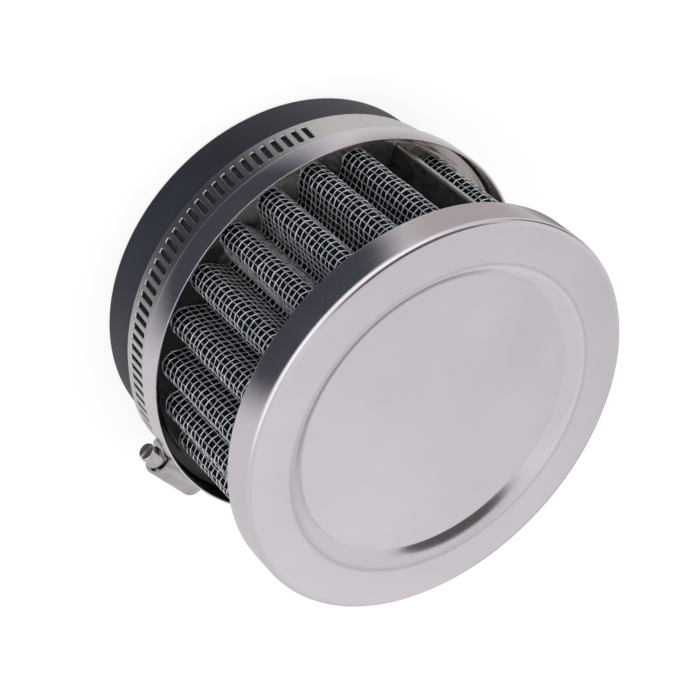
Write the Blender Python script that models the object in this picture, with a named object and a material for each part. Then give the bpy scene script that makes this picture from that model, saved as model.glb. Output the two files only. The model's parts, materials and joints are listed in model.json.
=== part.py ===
"""Clamp-on pod air filter for a motorcycle intake.

The filter stands on the mouth of its rubber neck, with +Z along its axis towards the front
cap. +X points at the worm housing of the hose clamp. All sizes are in metres and degrees.
"""

from math import acos, atan2, ceil, cos, degrees, hypot, pi, radians, sin, sqrt, tan

import bmesh
import bpy
from mathutils import Matrix, Vector

# Clearances
GAP = 0.0003                     # between neighbouring pieces
SCREW_CLEARANCE = 0.0004         # between the turning screw's collar and the housing

# Whole filter
FILTER_LENGTH = 0.0635           # neck mouth to front rim
CAP_RADIUS = 0.0460
CAP_SHEET = 0.0006
CAP_BEND = 0.0010                # bend of the cap corner, at the middle of the sheet

# Front cap
FRONT_SKIRT = 0.0082
RIM_WIDTH = 0.0097               # flat rim, from the skirt to the recess
RECESS_SLOPE = 0.0038            # width of the curved slope inside the rim
RECESS_DEPTH = 0.0022
LIP_WIDTH = 0.0010               # inward turn of the skirt's edge
LIP_BEND = 0.00045

# Rear cap
REAR_SKIRT = 0.0065
CAP_FLANGE = 0.0150              # skirt to the hole's edge

# Rubber neck
NECK_LENGTH = 0.0195             # mouth to the rear cap
NECK_SETBACK = 0.0026            # neck inside the caps' skirts
NECK_WALL = 0.0053
NECK_FLANGE = 0.0025             # stop that the intake pipe meets
NECK_MOUTH_ROUND = 0.0010
NECK_MOUTH_CHAMFER = 0.0008
LIP_OVERLAP = 0.0011             # reach of the lip over the rear cap's hole edge
LIP_THICKNESS = 0.0012
THROAT_WALL = 0.0012             # rubber inside the hole edge

# Pleated element
PLEAT_COUNT = 24                 # the seam clip takes the place of one
PLEAT_SETBACK = 0.0034           # pleat tips inside the caps' skirts
PLEAT_DEPTH = 0.0099
PLEAT_TIP_ROUND = 0.0032         # outside of a tip
PLEAT_VALLEY_ROUND = 0.00265     # inside of a valley
GAUZE_THICKNESS = 0.0009
MESH_THICKNESS = 0.0004
MESH_WINDOWS = 4                 # openings of the outer wire mesh along each tip
MESH_BAR = 0.0020                # mesh left between those openings
ADHESIVE_THICKNESS = 0.0014
ADHESIVE_EDGE = 0.0006           # adhesive beyond the pleats, on the outside

# Seam clip
SEAM_ANGLE = 208.5
CLIP_THICKNESS = 0.0010
CLIP_FOOT_WIDTH = 0.0038
CLIP_FOOT_THICKNESS = 0.0006
CLIP_PROUD = 0.0003              # beyond the pleat tips

# Hose clamp band
BAND_WIDTH = 0.0078
BAND_THICKNESS = 0.0006
SLOT_PITCH_ANGLE = 3.24
SLOT_WIDTH_ANGLE = 1.55
SLOT_MARGIN = 0.0016             # band left beside a slot
SLOT_SLANT_ANGLE = 0.5           # turn between the two ends of a slot
SLOTS_START_ANGLE = 232.0
SLOT_COUNT = 48
TAIL_END_ANGLE = 4.0             # plain end of the tail beyond the last slot
RISE_START_ANGLE = 320.0         # the tail climbs over the fixed end between these two
RISE_END_ANGLE = 344.0

# Worm housing, on +X
HOUSING_LENGTH = 0.0130
HOUSING_WALL = 0.0006
HOUSING_SIDE_WALL = 0.0005

# Worm screw
SCREW_CORE_RADIUS = 0.0020
THREAD_RADIUS = 0.0026
COLLAR_RADIUS = 0.0025
COLLAR_LENGTH = 0.0010           # flange under the head
HEAD_ACROSS_FLATS = 0.0038
HEAD_LENGTH = 0.0030
HEAD_CHAMFER = 0.0005
DRIVER_SLOT_WIDTH = 0.0008
DRIVER_SLOT_DEPTH = 0.0010
PILOT_RADIUS = 0.0014
PILOT_LENGTH = 0.0010

# Facets
CAP_STEPS = 48
NECK_STEPS = 40
RING_STEPS = 32
SCREW_STEPS = 20
BAND_STEP_ANGLE = 5.0
FILLET_STEP_ANGLE = 45.0
RECESS_STEPS = 3
TIP_STEPS = 4
VALLEY_STEPS = 2

# Radii that follow from the sizes above
RECESS_RIM_RADIUS = CAP_RADIUS - RIM_WIDTH
RECESS_FLOOR_RADIUS = RECESS_RIM_RADIUS - RECESS_SLOPE
CAP_HOLE_RADIUS = CAP_RADIUS - CAP_FLANGE
NECK_RADIUS = CAP_RADIUS - NECK_SETBACK
PLEAT_OUTER_RADIUS = CAP_RADIUS - PLEAT_SETBACK
PLEAT_INNER_RADIUS = PLEAT_OUTER_RADIUS - PLEAT_DEPTH
LIP_RADIUS = CAP_HOLE_RADIUS + LIP_OVERLAP
THROAT_RADIUS = CAP_HOLE_RADIUS - GAP - THROAT_WALL
BAND_INNER_RADIUS = NECK_RADIUS + GAP
BAND_OUTER_RADIUS = BAND_INNER_RADIUS + BAND_THICKNESS
TAIL_RISE = BAND_THICKNESS + GAP
TAIL_OUTER_RADIUS = BAND_OUTER_RADIUS + TAIL_RISE
TUNNEL_RADIUS = THREAD_RADIUS + GAP
SCREW_AXIS_X = TAIL_OUTER_RADIUS + GAP + SCREW_CORE_RADIUS
ELEMENT_HALF = GAUZE_THICKNESS / 2 + GAP + MESH_THICKNESS

# Heights that follow from the sizes above
REAR_CAP_Z = NECK_LENGTH + GAP
REAR_FLOOR_Z = REAR_CAP_Z + CAP_SHEET
RECESS_Z = FILTER_LENGTH - RECESS_DEPTH
REAR_ADHESIVE_Z = REAR_FLOOR_Z + GAP
PLEAT_REAR_Z = REAR_ADHESIVE_Z + ADHESIVE_THICKNESS + GAP
PLEAT_FRONT_Z = RECESS_Z - CAP_SHEET - GAP - ADHESIVE_THICKNESS - GAP
BAND_FRONT_Z = REAR_CAP_Z - GAP - HOUSING_SIDE_WALL - GAP
BAND_Z = BAND_FRONT_Z - BAND_WIDTH / 2


def clear_scene():
    """Take every object out of the scene."""
    for item in list(bpy.data.objects):
        bpy.data.objects.remove(item, do_unlink=True)


def make_material(name, colour, roughness, metallic):
    """A plain Principled material."""
    material = bpy.data.materials.new(name)
    material.use_nodes = True
    shader = material.node_tree.nodes["Principled BSDF"]
    shader.inputs["Base Color"].default_value = (*colour, 1.0)
    shader.inputs["Roughness"].default_value = roughness
    shader.inputs["Metallic"].default_value = metallic
    return material


def add_object(name, mesh_data, material, sharp_angle=35.0):
    """Turn a bmesh into a named object with its material, shaded smooth up to an angle."""
    bmesh.ops.recalc_face_normals(mesh_data, faces=mesh_data.faces)
    mesh = bpy.data.meshes.new(name)
    mesh_data.to_mesh(mesh)
    mesh_data.free()
    mesh.materials.append(material)
    mesh.shade_smooth()
    mesh.set_sharp_from_angle(angle=radians(sharp_angle))
    item = bpy.data.objects.new(name, mesh)
    bpy.context.scene.collection.objects.link(item)
    return item


def cut_away(item, cutter):
    """Subtract one object from another and keep the cutter as a wire guide."""
    cutter.hide_render = True
    cutter.display_type = "WIRE"
    modifier = item.modifiers.new("cut " + cutter.name, "BOOLEAN")
    modifier.operation = "DIFFERENCE"
    modifier.solver = "EXACT"
    modifier.object = cutter


def offset_path(points, distance):
    """Shift an open path of (r, z) points sideways, to the left of its direction."""
    shifted = []
    for index, point in enumerate(points):
        before = points[max(index - 1, 0)]
        after = points[min(index + 1, len(points) - 1)]
        first = Vector(point) - Vector(before) if index else Vector(after) - Vector(point)
        second = Vector(after) - Vector(point) if index < len(points) - 1 else first
        first.normalize()
        second.normalize()
        turn = atan2(first.cross(second), first.dot(second))
        normal = Vector((-first.y - second.y, first.x + second.x)).normalized()
        shifted.append(tuple(Vector(point) + normal * (distance / cos(turn / 2))))
    return shifted


def rounded_path(points, bends, closed=False):
    """Replace each corner of a path by an arc of its own bend radius."""
    count = len(points)
    result = []
    for index, point in enumerate(points):
        ends_here = not closed and index in (0, count - 1)
        if ends_here or bends[index] <= 0:
            result.append(tuple(point))
            continue
        corner = Vector(point)
        into = (corner - Vector(points[index - 1])).normalized()
        out = (Vector(points[(index + 1) % count]) - corner).normalized()
        turn = atan2(into.cross(out), into.dot(out))
        reach = bends[index] * tan(abs(turn) / 2)
        side = 1 if turn > 0 else -1
        start = corner - into * reach
        centre = start + Vector((-into.y, into.x)) * bends[index] * side
        steps = ceil(degrees(abs(turn)) / FILLET_STEP_ANGLE)
        spoke = start - centre
        for step in range(steps + 1):
            angle = turn * step / steps
            turned = Vector((spoke.x * cos(angle) - spoke.y * sin(angle),
                             spoke.x * sin(angle) + spoke.y * cos(angle)))
            result.append(tuple(centre + turned))
    return result


def sheet_profile(middle, bends, thickness):
    """Closed outline of a bent sheet whose middle line and bend radii are given."""
    half = thickness / 2
    sides = []
    for sign in (1, -1):
        corners = offset_path(middle, sign * half)
        side_bends = []
        for index, bend in enumerate(bends):
            if index in (0, len(bends) - 1):
                side_bends.append(0.0)
                continue
            into = Vector(middle[index]) - Vector(middle[index - 1])
            out = Vector(middle[index + 1]) - Vector(middle[index])
            leftward = 1 if into.cross(out) > 0 else -1
            side_bends.append(bend - leftward * sign * half)
        sides.append(rounded_path(corners, side_bends))
    return sides[0] + sides[1][::-1]


def turned(name, profile, steps, material, closed=True):
    """Spin a profile of (r, z) points about Z. An open profile ends on the axis twice."""
    data = bmesh.new()
    verts = [data.verts.new((r, 0.0, z)) for r, z in profile]
    edges = [data.edges.new(pair) for pair in zip(verts, verts[1:])]
    if closed:
        edges.append(data.edges.new((verts[-1], verts[0])))
    bmesh.ops.spin(data, geom=verts + edges, cent=(0, 0, 0), axis=(0, 0, 1), dvec=(0, 0, 0),
                   angle=2 * pi, steps=steps, use_merge=True)
    bmesh.ops.remove_doubles(data, verts=data.verts, dist=1e-7)
    return add_object(name, data, material)


def extruded(name, outline, z_low, z_high, material, sharp_angle=35.0):
    """Extrude a closed outline of (x, y) points along Z."""
    data = bmesh.new()
    face = data.faces.new([data.verts.new((x, y, z_low)) for x, y in outline])
    top = bmesh.ops.extrude_face_region(data, geom=[face])
    lifted = [v for v in top["geom"] if isinstance(v, bmesh.types.BMVert)]
    bmesh.ops.translate(data, verts=lifted, vec=(0, 0, z_high - z_low))
    return add_object(name, data, material, sharp_angle)


def arc_points(centre, radius, start, end, steps):
    """Points on an arc between two angles in degrees."""
    angles = [radians(start + (end - start) * step / steps) for step in range(steps + 1)]
    return [(centre[0] + radius * cos(a), centre[1] + radius * sin(a)) for a in angles]


def front_face():
    """Outside of the front cap's face: flat disc, slope that steepens inwards, flat rim."""
    slope = []
    for step in range(RECESS_STEPS, -1, -1):
        share = step / RECESS_STEPS
        slope.append((RECESS_RIM_RADIUS - RECESS_SLOPE * share,
                      FILTER_LENGTH - RECESS_DEPTH * share * share))
    return [(0.0, RECESS_Z), *slope, (CAP_RADIUS, FILTER_LENGTH)]


def make_front_cap(material):
    """Pressed jar-lid cap: recessed centre, flat rim, skirt and turned-in lip."""
    half = CAP_SHEET / 2
    skirt_r = CAP_RADIUS - half
    lip_z = FILTER_LENGTH - FRONT_SKIRT + half
    plate = offset_path(front_face(), -half)[:-1]
    middle = plate + [(skirt_r, FILTER_LENGTH - half), (skirt_r, lip_z),
                      (skirt_r - LIP_WIDTH, lip_z)]
    profile = sheet_profile(middle, [0] * len(plate) + [CAP_BEND, LIP_BEND, 0], CAP_SHEET)
    profile[0] = (0.0, profile[0][1])
    profile[-1] = (0.0, profile[-1][1])
    return turned("front_cap", profile, CAP_STEPS, material, closed=False)


def make_rear_cap(material):
    """Pressed cup with a plain edge and a round hole for the neck."""
    half = CAP_SHEET / 2
    middle = [(CAP_HOLE_RADIUS, REAR_CAP_Z + half), (CAP_RADIUS - half, REAR_CAP_Z + half),
              (CAP_RADIUS - half, REAR_CAP_Z + REAR_SKIRT)]
    return turned("rear_cap", sheet_profile(middle, [0, CAP_BEND, 0], CAP_SHEET), CAP_STEPS,
                  material)


def make_rubber_neck(material):
    """Rubber sleeve whose front flange grips the rear cap's hole with a groove and a lip."""
    bore = NECK_RADIUS - NECK_WALL
    groove = CAP_HOLE_RADIUS - GAP
    stop_z = NECK_LENGTH - NECK_FLANGE
    lip_z = REAR_FLOOR_Z + GAP
    lip_top = lip_z + LIP_THICKNESS
    soft = LIP_THICKNESS / 3
    corners = [
        (NECK_RADIUS, 0.0, NECK_MOUTH_ROUND), (NECK_RADIUS, NECK_LENGTH, 0),
        (groove, NECK_LENGTH, 0), (groove, lip_z, 0), (LIP_RADIUS, lip_z, 0),
        (LIP_RADIUS, lip_top, 0), (THROAT_RADIUS, lip_top, soft),
        (THROAT_RADIUS, stop_z, soft), (bore, stop_z, 0),
        (bore, NECK_MOUTH_CHAMFER, 0), (bore + NECK_MOUTH_CHAMFER, 0.0, 0),
    ]
    profile = rounded_path([c[:2] for c in corners], [c[2] for c in corners], closed=True)
    return turned("rubber_neck", profile, NECK_STEPS, material)


def make_rear_adhesive(material):
    """Bead that bonds the pleats to the rear cap."""
    low, high = REAR_ADHESIVE_Z, REAR_ADHESIVE_Z + ADHESIVE_THICKNESS
    inner = max(LIP_RADIUS + GAP, PLEAT_INNER_RADIUS - ADHESIVE_EDGE)
    outer = PLEAT_OUTER_RADIUS + ADHESIVE_EDGE
    profile = [(inner, low), (outer, low), (outer, high), (inner, high)]
    return turned("rear_adhesive", profile, RING_STEPS, material)


def make_front_adhesive(material):
    """Bead that bonds the pleats to the front cap and fills its raised rim from below."""
    under = offset_path(front_face(), -(CAP_SHEET + GAP))
    low = PLEAT_FRONT_Z + GAP
    inner = PLEAT_INNER_RADIUS - ADHESIVE_EDGE
    rim = PLEAT_OUTER_RADIUS + ADHESIVE_EDGE
    slope = [point for point in under[1:-1] if point[0] > inner]
    profile = [(inner, low), (rim, low), (rim, under[-1][1]), *slope[::-1],
               (inner, under[0][1])]
    return turned("front_adhesive", profile, RING_STEPS, material)


def pleat_geometry():
    """Centre radii of tips and valleys, and the half angles that their arcs cover."""
    tip_r = PLEAT_OUTER_RADIUS - PLEAT_TIP_ROUND
    valley_r = PLEAT_INNER_RADIUS + PLEAT_VALLEY_ROUND
    half_pitch = 180.0 / PLEAT_COUNT
    dx = valley_r * cos(radians(half_pitch)) - tip_r
    dy = valley_r * sin(radians(half_pitch))
    bend_sum = PLEAT_TIP_ROUND + PLEAT_VALLEY_ROUND - 2 * ELEMENT_HALF
    tip_half = degrees(atan2(dy, dx) - acos(bend_sum / hypot(dx, dy)))
    return tip_r, valley_r, tip_half, tip_half - half_pitch


def pleat_line(offset):
    """Open line of the pleats, offset outwards, from one side of the clip to the other."""
    tip_r, valley_r, tip_half, valley_half = pleat_geometry()
    tip_bend = PLEAT_TIP_ROUND - ELEMENT_HALF + offset
    valley_bend = PLEAT_VALLEY_ROUND - ELEMENT_HALF - offset
    pitch = 360.0 / PLEAT_COUNT
    side = CLIP_THICKNESS / 2 + GAP
    line = []
    for index in range(PLEAT_COUNT):
        crest = pitch * index
        valley = crest + pitch / 2
        if index:
            centre = (tip_r * cos(radians(crest)), tip_r * sin(radians(crest)))
            line += arc_points(centre, tip_bend, crest - tip_half, crest + tip_half, TIP_STEPS)
        centre = (valley_r * cos(radians(valley)), valley_r * sin(radians(valley)))
        start = 0.0 if index == 0 else valley_half
        end = 0.0 if index == PLEAT_COUNT - 1 else -valley_half
        steps = ceil(VALLEY_STEPS / 2) if 0.0 in (start, end) else VALLEY_STEPS
        line += arc_points(centre, valley_bend, valley + 180 + start, valley + 180 + end, steps)
    bottom = valley_r - valley_bend
    half_pitch = radians(pitch / 2)
    reach = (bottom * sin(half_pitch) - side) / cos(half_pitch)
    at_clip = bottom * cos(half_pitch) + reach * sin(half_pitch)
    return [(at_clip, side)] + line + [(at_clip, -side)]


def strip_faces(data, skins, is_window):
    """Walls of a pleated strip. Skins hold a column of points for each place along it."""
    outer, inner = skins
    last = len(outer) - 1
    for i in range(last):
        for skin in skins:
            if is_window(i):
                for row in range(0, len(skin[i]) - 1, 2):
                    data.faces.new((skin[i][row], skin[i + 1][row],
                                    skin[i + 1][row + 1], skin[i][row + 1]))
            else:
                data.faces.new(skin[i] + skin[i + 1][::-1])
        rows = range(len(outer[i])) if is_window(i) else (0, -1)
        for row in rows:
            data.faces.new((outer[i][row], outer[i + 1][row], inner[i + 1][row], inner[i][row]))
    for i in (0, last):
        data.faces.new((outer[i][0], outer[i][-1], inner[i][-1], inner[i][0]))
    for i in range(1, last):
        if is_window(i) != is_window(i - 1):
            for row in range(1, len(outer[i]) - 1, 2):
                data.faces.new((outer[i][row], outer[i][row + 1],
                                inner[i][row + 1], inner[i][row]))


def make_pleated_sheet(name, inner_offset, outer_offset, windows, material):
    """One pleated layer, drawn up along the filter, with openings along each tip."""
    heights = [PLEAT_REAR_Z]
    clear = (PLEAT_FRONT_Z - PLEAT_REAR_Z - MESH_BAR) / windows if windows else 0.0
    for window in range(windows):
        low = PLEAT_REAR_Z + MESH_BAR + clear * window
        heights += [low, low + clear - MESH_BAR]
    heights.append(PLEAT_FRONT_Z)
    lines = [pleat_line(offset) for offset in (outer_offset, inner_offset)]
    per_pleat = TIP_STEPS + VALLEY_STEPS + 2
    first_tip = ceil(VALLEY_STEPS / 2) + 2

    def is_window(column):
        place = (column - first_tip) % per_pleat
        inside = first_tip <= column < first_tip + per_pleat * (PLEAT_COUNT - 1)
        return bool(windows) and inside and place in (TIP_STEPS // 2 - 1, TIP_STEPS // 2)

    data = bmesh.new()
    skins = []
    for line in lines:
        skin = []
        for i, (x, y) in enumerate(line):
            dense = is_window(i) or is_window(i - 1)
            levels = heights if dense else (PLEAT_REAR_Z, PLEAT_FRONT_Z)
            skin.append([data.verts.new((x, y, z)) for z in levels])
        skins.append(skin)
    strip_faces(data, skins, is_window)
    bmesh.ops.rotate(data, verts=data.verts, cent=(0, 0, 0),
                     matrix=Matrix.Rotation(radians(SEAM_ANGLE), 3, "Z"))
    return add_object(name, data, material)


def make_seam_clip(material):
    """Folded strip that joins the two ends of the pleated pack."""
    half = CLIP_THICKNESS / 2
    outer_x = PLEAT_OUTER_RADIUS + CLIP_PROUD
    valley_side = PLEAT_INNER_RADIUS * cos(radians(180.0 / PLEAT_COUNT))
    foot_x = valley_side - GAP - CLIP_FOOT_THICKNESS
    foot_top = valley_side - GAP
    fold = arc_points((outer_x - half, 0.0), half, 90, -90, 6)
    outline = [(foot_x, CLIP_FOOT_WIDTH / 2), (foot_top, CLIP_FOOT_WIDTH / 2), (foot_top, half),
               *fold, (foot_top, -half), (foot_top, -CLIP_FOOT_WIDTH / 2),
               (foot_x, -CLIP_FOOT_WIDTH / 2)]
    clip = extruded("seam_clip", outline, PLEAT_REAR_Z, PLEAT_FRONT_Z, material)
    clip.data.transform(Matrix.Rotation(radians(SEAM_ANGLE), 4, "Z"))
    return clip


def band_radius(angle):
    """Inner radius of the band, which climbs over its own fixed end."""
    share = (angle - RISE_START_ANGLE) / (RISE_END_ANGLE - RISE_START_ANGLE)
    share = min(max(share, 0.0), 1.0)
    return BAND_INNER_RADIUS + TAIL_RISE * share * share * (3 - 2 * share)


def band_stations():
    """Angles along the band, each with a flag that says a slot follows it."""
    start = degrees(atan2(HOUSING_LENGTH / 2 + GAP, BAND_INNER_RADIUS))
    stations = []
    steps = ceil((SLOTS_START_ANGLE - start) / BAND_STEP_ANGLE)
    for step in range(steps):
        stations.append((start + (SLOTS_START_ANGLE - start) * step / steps, False))
    for slot in range(SLOT_COUNT):
        at = SLOTS_START_ANGLE + slot * SLOT_PITCH_ANGLE
        stations += [(at, True), (at + SLOT_WIDTH_ANGLE, False)]
    stations.append((stations[-1][0] + TAIL_END_ANGLE, False))
    return stations


def make_clamp_band(material):
    """Slotted steel band, wound once round the neck, with its tail over its fixed end."""
    edge, slot_end = BAND_WIDTH / 2, BAND_WIDTH / 2 - SLOT_MARGIN
    rows = (-edge, -slot_end, slot_end, edge)
    lean = (0.0, -SLOT_SLANT_ANGLE / 2, SLOT_SLANT_ANGLE / 2, 0.0)
    stations = band_stations()
    data = bmesh.new()
    skins = []
    for thickness in (0.0, BAND_THICKNESS):
        skin = []
        for angle, _ in stations:
            column = []
            for z, shift in zip(rows, lean):
                turn = radians(angle + shift)
                radius = band_radius(angle) + thickness
                column.append(data.verts.new((radius * cos(turn), radius * sin(turn), BAND_Z + z)))
            skin.append(column)
        skins.append(skin)
    inside, outside = skins
    last = len(stations) - 1
    for index in range(last):
        is_slot = stations[index][1]
        for row in range(3):
            if is_slot and row == 1:
                continue
            for skin in skins:
                data.faces.new((skin[index][row], skin[index + 1][row],
                                skin[index + 1][row + 1], skin[index][row + 1]))
        for row in (0, 1, 2, 3) if is_slot else (0, 3):
            data.faces.new((inside[index][row], inside[index + 1][row],
                            outside[index + 1][row], outside[index][row]))
        for column in (index, index + 1) if is_slot else ():
            data.faces.new((inside[column][1], inside[column][2],
                            outside[column][2], outside[column][1]))
    for column in (0, last):
        for row in range(3):
            data.faces.new((inside[column][row], inside[column][row + 1],
                            outside[column][row + 1], outside[column][row]))
    return add_object("clamp_band", data, material)


def housing_outline():
    """End view of the worm housing: (distance from the filter's axis, height) points."""
    barrel = TUNNEL_RADIUS + HOUSING_WALL
    shoulder = TAIL_OUTER_RADIUS + GAP + HOUSING_WALL
    side = BAND_WIDTH / 2 + GAP + HOUSING_SIDE_WALL
    foot = BAND_INNER_RADIUS * cos(atan2(HOUSING_LENGTH / 2, BAND_INNER_RADIUS)) - HOUSING_WALL
    rise = degrees(acos((shoulder - SCREW_AXIS_X) / barrel))
    crown = arc_points((SCREW_AXIS_X, 0.0), barrel, -rise, rise, 12)
    left = rounded_path([(foot, -side), (shoulder, -side), crown[0]], [0, HOUSING_WALL, 0])
    right = [(x, -y) for x, y in reversed(left)]
    return left[:-1] + crown + right[1:]


def make_clamp_housing(material):
    """Pressed housing on +X: a barrel over the screw, two sides and a floor."""
    half = HOUSING_LENGTH / 2
    housing = extruded("clamp_housing", housing_outline(), -half, half, material)
    housing.data.transform(Matrix(((1, 0, 0, 0), (0, 0, 1, 0), (0, 1, 0, BAND_Z), (0, 0, 0, 1))))
    housing.data.flip_normals()
    neck_side = [(0.0, BAND_Z - BAND_WIDTH), (BAND_INNER_RADIUS, BAND_Z - BAND_WIDTH),
                 (BAND_INNER_RADIUS, BAND_Z + BAND_WIDTH), (0.0, BAND_Z + BAND_WIDTH)]
    cut_away(housing, turned("housing_floor_cutter", neck_side, CAP_STEPS, material, closed=False))
    low, high = BAND_Z - BAND_WIDTH / 2 - GAP, BAND_Z + BAND_WIDTH / 2 + GAP
    inner, outer = BAND_OUTER_RADIUS, TAIL_OUTER_RADIUS + GAP
    passage = [(inner, low), (outer, low), (outer, high), (inner, high)]
    cut_away(housing, turned("band_passage_cutter", passage, CAP_STEPS, material))
    tunnel = extruded("screw_tunnel_cutter",
                      arc_points((SCREW_AXIS_X, 0.0), TUNNEL_RADIUS, 0, 342, 19),
                      -HOUSING_LENGTH, HOUSING_LENGTH, material)
    tunnel.data.transform(Matrix(((1, 0, 0, 0), (0, 0, 1, 0), (0, 1, 0, BAND_Z), (0, 0, 0, 1))))
    tunnel.data.flip_normals()
    cut_away(housing, tunnel)
    return housing


def make_clamp_screw(material):
    """Worm screw: core, collar and slotted hexagon head. Its own axis is the object's Z."""
    reach = HOUSING_LENGTH / 2
    collar_low = reach + SCREW_CLEARANCE
    collar_high = collar_low + COLLAR_LENGTH
    profile = [(0.0, collar_high), (COLLAR_RADIUS, collar_high), (COLLAR_RADIUS, collar_low),
               (SCREW_CORE_RADIUS, collar_low), (SCREW_CORE_RADIUS, -reach),
               (PILOT_RADIUS, -reach), (PILOT_RADIUS, -reach - PILOT_LENGTH),
               (0.0, -reach - PILOT_LENGTH)]
    screw = turned("clamp_screw", profile, SCREW_STEPS, material, closed=False)
    corner = HEAD_ACROSS_FLATS / sqrt(3)
    head_top = collar_high + HEAD_LENGTH
    levels = [(collar_high - COLLAR_LENGTH / 2, corner), (head_top - HEAD_CHAMFER, corner),
              (head_top, corner - HEAD_CHAMFER)]
    data = bmesh.new()
    rings = [[data.verts.new((radius * cos(i * pi / 3), radius * sin(i * pi / 3), z))
              for i in range(6)] for z, radius in levels]
    for low_ring, high_ring in zip(rings, rings[1:]):
        for i in range(6):
            data.faces.new((low_ring[i], low_ring[i - 1], high_ring[i - 1], high_ring[i]))
    data.faces.new(rings[0])
    data.faces.new(rings[-1])
    head = add_object("screw_head_form", data, material)
    head.hide_render = True
    head.display_type = "WIRE"
    join = screw.modifiers.new("head", "BOOLEAN")
    join.operation = "UNION"
    join.solver = "EXACT"
    join.object = head
    half = DRIVER_SLOT_WIDTH / 2
    slot = extruded("driver_slot_cutter",
                    [(-corner * 2, -half), (corner * 2, -half), (corner * 2, half),
                     (-corner * 2, half)],
                    head_top - DRIVER_SLOT_DEPTH, head_top + DRIVER_SLOT_DEPTH, material)
    cut_away(screw, slot)
    for piece in (screw, head, slot):
        piece.location = (SCREW_AXIS_X, 0.0, BAND_Z)
        piece.rotation_euler = (pi / 2, 0.0, 0.0)
    return screw


def build():
    """Make every piece of the filter."""
    clear_scene()
    polished = make_material("polished_cap", (0.78, 0.77, 0.75), 0.18, 1.0)
    steel = make_material("clamp_steel", (0.72, 0.72, 0.73), 0.22, 1.0)
    rubber = make_material("neck_rubber", (0.035, 0.036, 0.04), 0.6, 0.0)
    gauze = make_material("dark_gauze", (0.012, 0.014, 0.024), 0.85, 0.0)
    wire = make_material("mesh_wire", (0.62, 0.63, 0.66), 0.35, 1.0)
    clip_steel = make_material("clip_steel", (0.2, 0.2, 0.21), 0.4, 1.0)
    adhesive = make_material("adhesive", (0.02, 0.02, 0.022), 0.5, 0.0)

    make_front_cap(polished)
    make_rear_cap(polished)
    make_rubber_neck(rubber)
    make_rear_adhesive(adhesive)
    make_front_adhesive(adhesive)
    gauze_half = GAUZE_THICKNESS / 2
    wire_in, wire_out = gauze_half + GAP, gauze_half + GAP + MESH_THICKNESS
    make_pleated_sheet("filter_gauze", -gauze_half, gauze_half, 0, gauze)
    make_pleated_sheet("outer_wire_mesh", wire_in, wire_out, MESH_WINDOWS, wire)
    make_pleated_sheet("inner_wire_mesh", -wire_out, -wire_in, 0, wire)
    make_seam_clip(clip_steel)
    make_clamp_band(steel)
    make_clamp_housing(steel)
    make_clamp_screw(steel)


build()
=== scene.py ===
"""Finish of a clamp-on pod air filter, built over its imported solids.

The pleated wire cloth, the gauze, the turned caps, the rubber neck and the slotted hose clamp
are made here at full detail, with their materials, a plain studio and the camera.
"""

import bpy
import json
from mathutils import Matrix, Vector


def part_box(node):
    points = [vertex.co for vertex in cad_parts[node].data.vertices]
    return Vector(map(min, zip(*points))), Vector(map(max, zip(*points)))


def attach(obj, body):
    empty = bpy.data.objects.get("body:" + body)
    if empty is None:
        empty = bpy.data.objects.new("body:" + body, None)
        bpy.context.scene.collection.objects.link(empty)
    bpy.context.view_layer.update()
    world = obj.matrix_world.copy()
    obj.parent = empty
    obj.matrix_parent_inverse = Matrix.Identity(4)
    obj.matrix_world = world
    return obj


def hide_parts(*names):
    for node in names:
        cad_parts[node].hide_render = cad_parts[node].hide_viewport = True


bl_info = {
    "name": "Pod Air Filter",
    "version": (1, 0, 0),
    "blender": (4, 5, 0),
    "location": "3D Viewport > Sidebar > Air Filter",
    "description": "Builds a pleated pod air filter with its hose clamp over the packed solids",
    "category": "Add Mesh",
}

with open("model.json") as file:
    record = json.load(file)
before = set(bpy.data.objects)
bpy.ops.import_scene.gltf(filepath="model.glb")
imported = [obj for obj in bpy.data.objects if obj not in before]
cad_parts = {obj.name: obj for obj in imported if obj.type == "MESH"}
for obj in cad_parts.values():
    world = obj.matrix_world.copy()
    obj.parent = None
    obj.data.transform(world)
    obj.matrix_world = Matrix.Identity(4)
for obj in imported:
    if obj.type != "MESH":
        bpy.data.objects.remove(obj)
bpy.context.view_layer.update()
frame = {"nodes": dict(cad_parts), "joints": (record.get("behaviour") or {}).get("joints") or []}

import json
from functools import partial
from math import acos, atan2, ceil, cos, degrees, hypot, pi, radians, sin, sqrt, tan

import bmesh
import bpy
from bpy.props import (FloatProperty, FloatVectorProperty, IntProperty, PointerProperty)
from bpy.types import Operator, Panel, PropertyGroup
from mathutils import Matrix, Vector
from mathutils.geometry import delaunay_2d_cdt

FILTER_BODY = "filter"
SCREW_BODY = "screw"


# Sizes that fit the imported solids

FRONT_CAP_LOW, FRONT_CAP_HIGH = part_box("front_cap")
REAR_CAP_LOW, REAR_CAP_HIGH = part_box("rear_cap")
GAUZE_LOW, GAUZE_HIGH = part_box("filter_gauze")
BAND_LOW, BAND_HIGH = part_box("clamp_band")
SCREW_TURN = frame["joints"][0]


def length(name, description, default):
    """A length property in metres."""
    return FloatProperty(name=name, description=description, default=default, min=0.0,
                         unit="LENGTH", precision=5)


def angle(name, description, degrees_default):
    """An angle property, given in degrees."""
    return FloatProperty(name=name, description=description, default=radians(degrees_default),
                         subtype="ANGLE")


def amount(name, description, default):
    """A plain number from 0 upwards."""
    return FloatProperty(name=name, description=description, default=default, min=0.0)


def colour(name, description, default):
    """A colour property."""
    return FloatVectorProperty(name=name, description=description, default=default, size=3,
                               subtype="COLOR", min=0.0, max=1.0)


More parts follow.
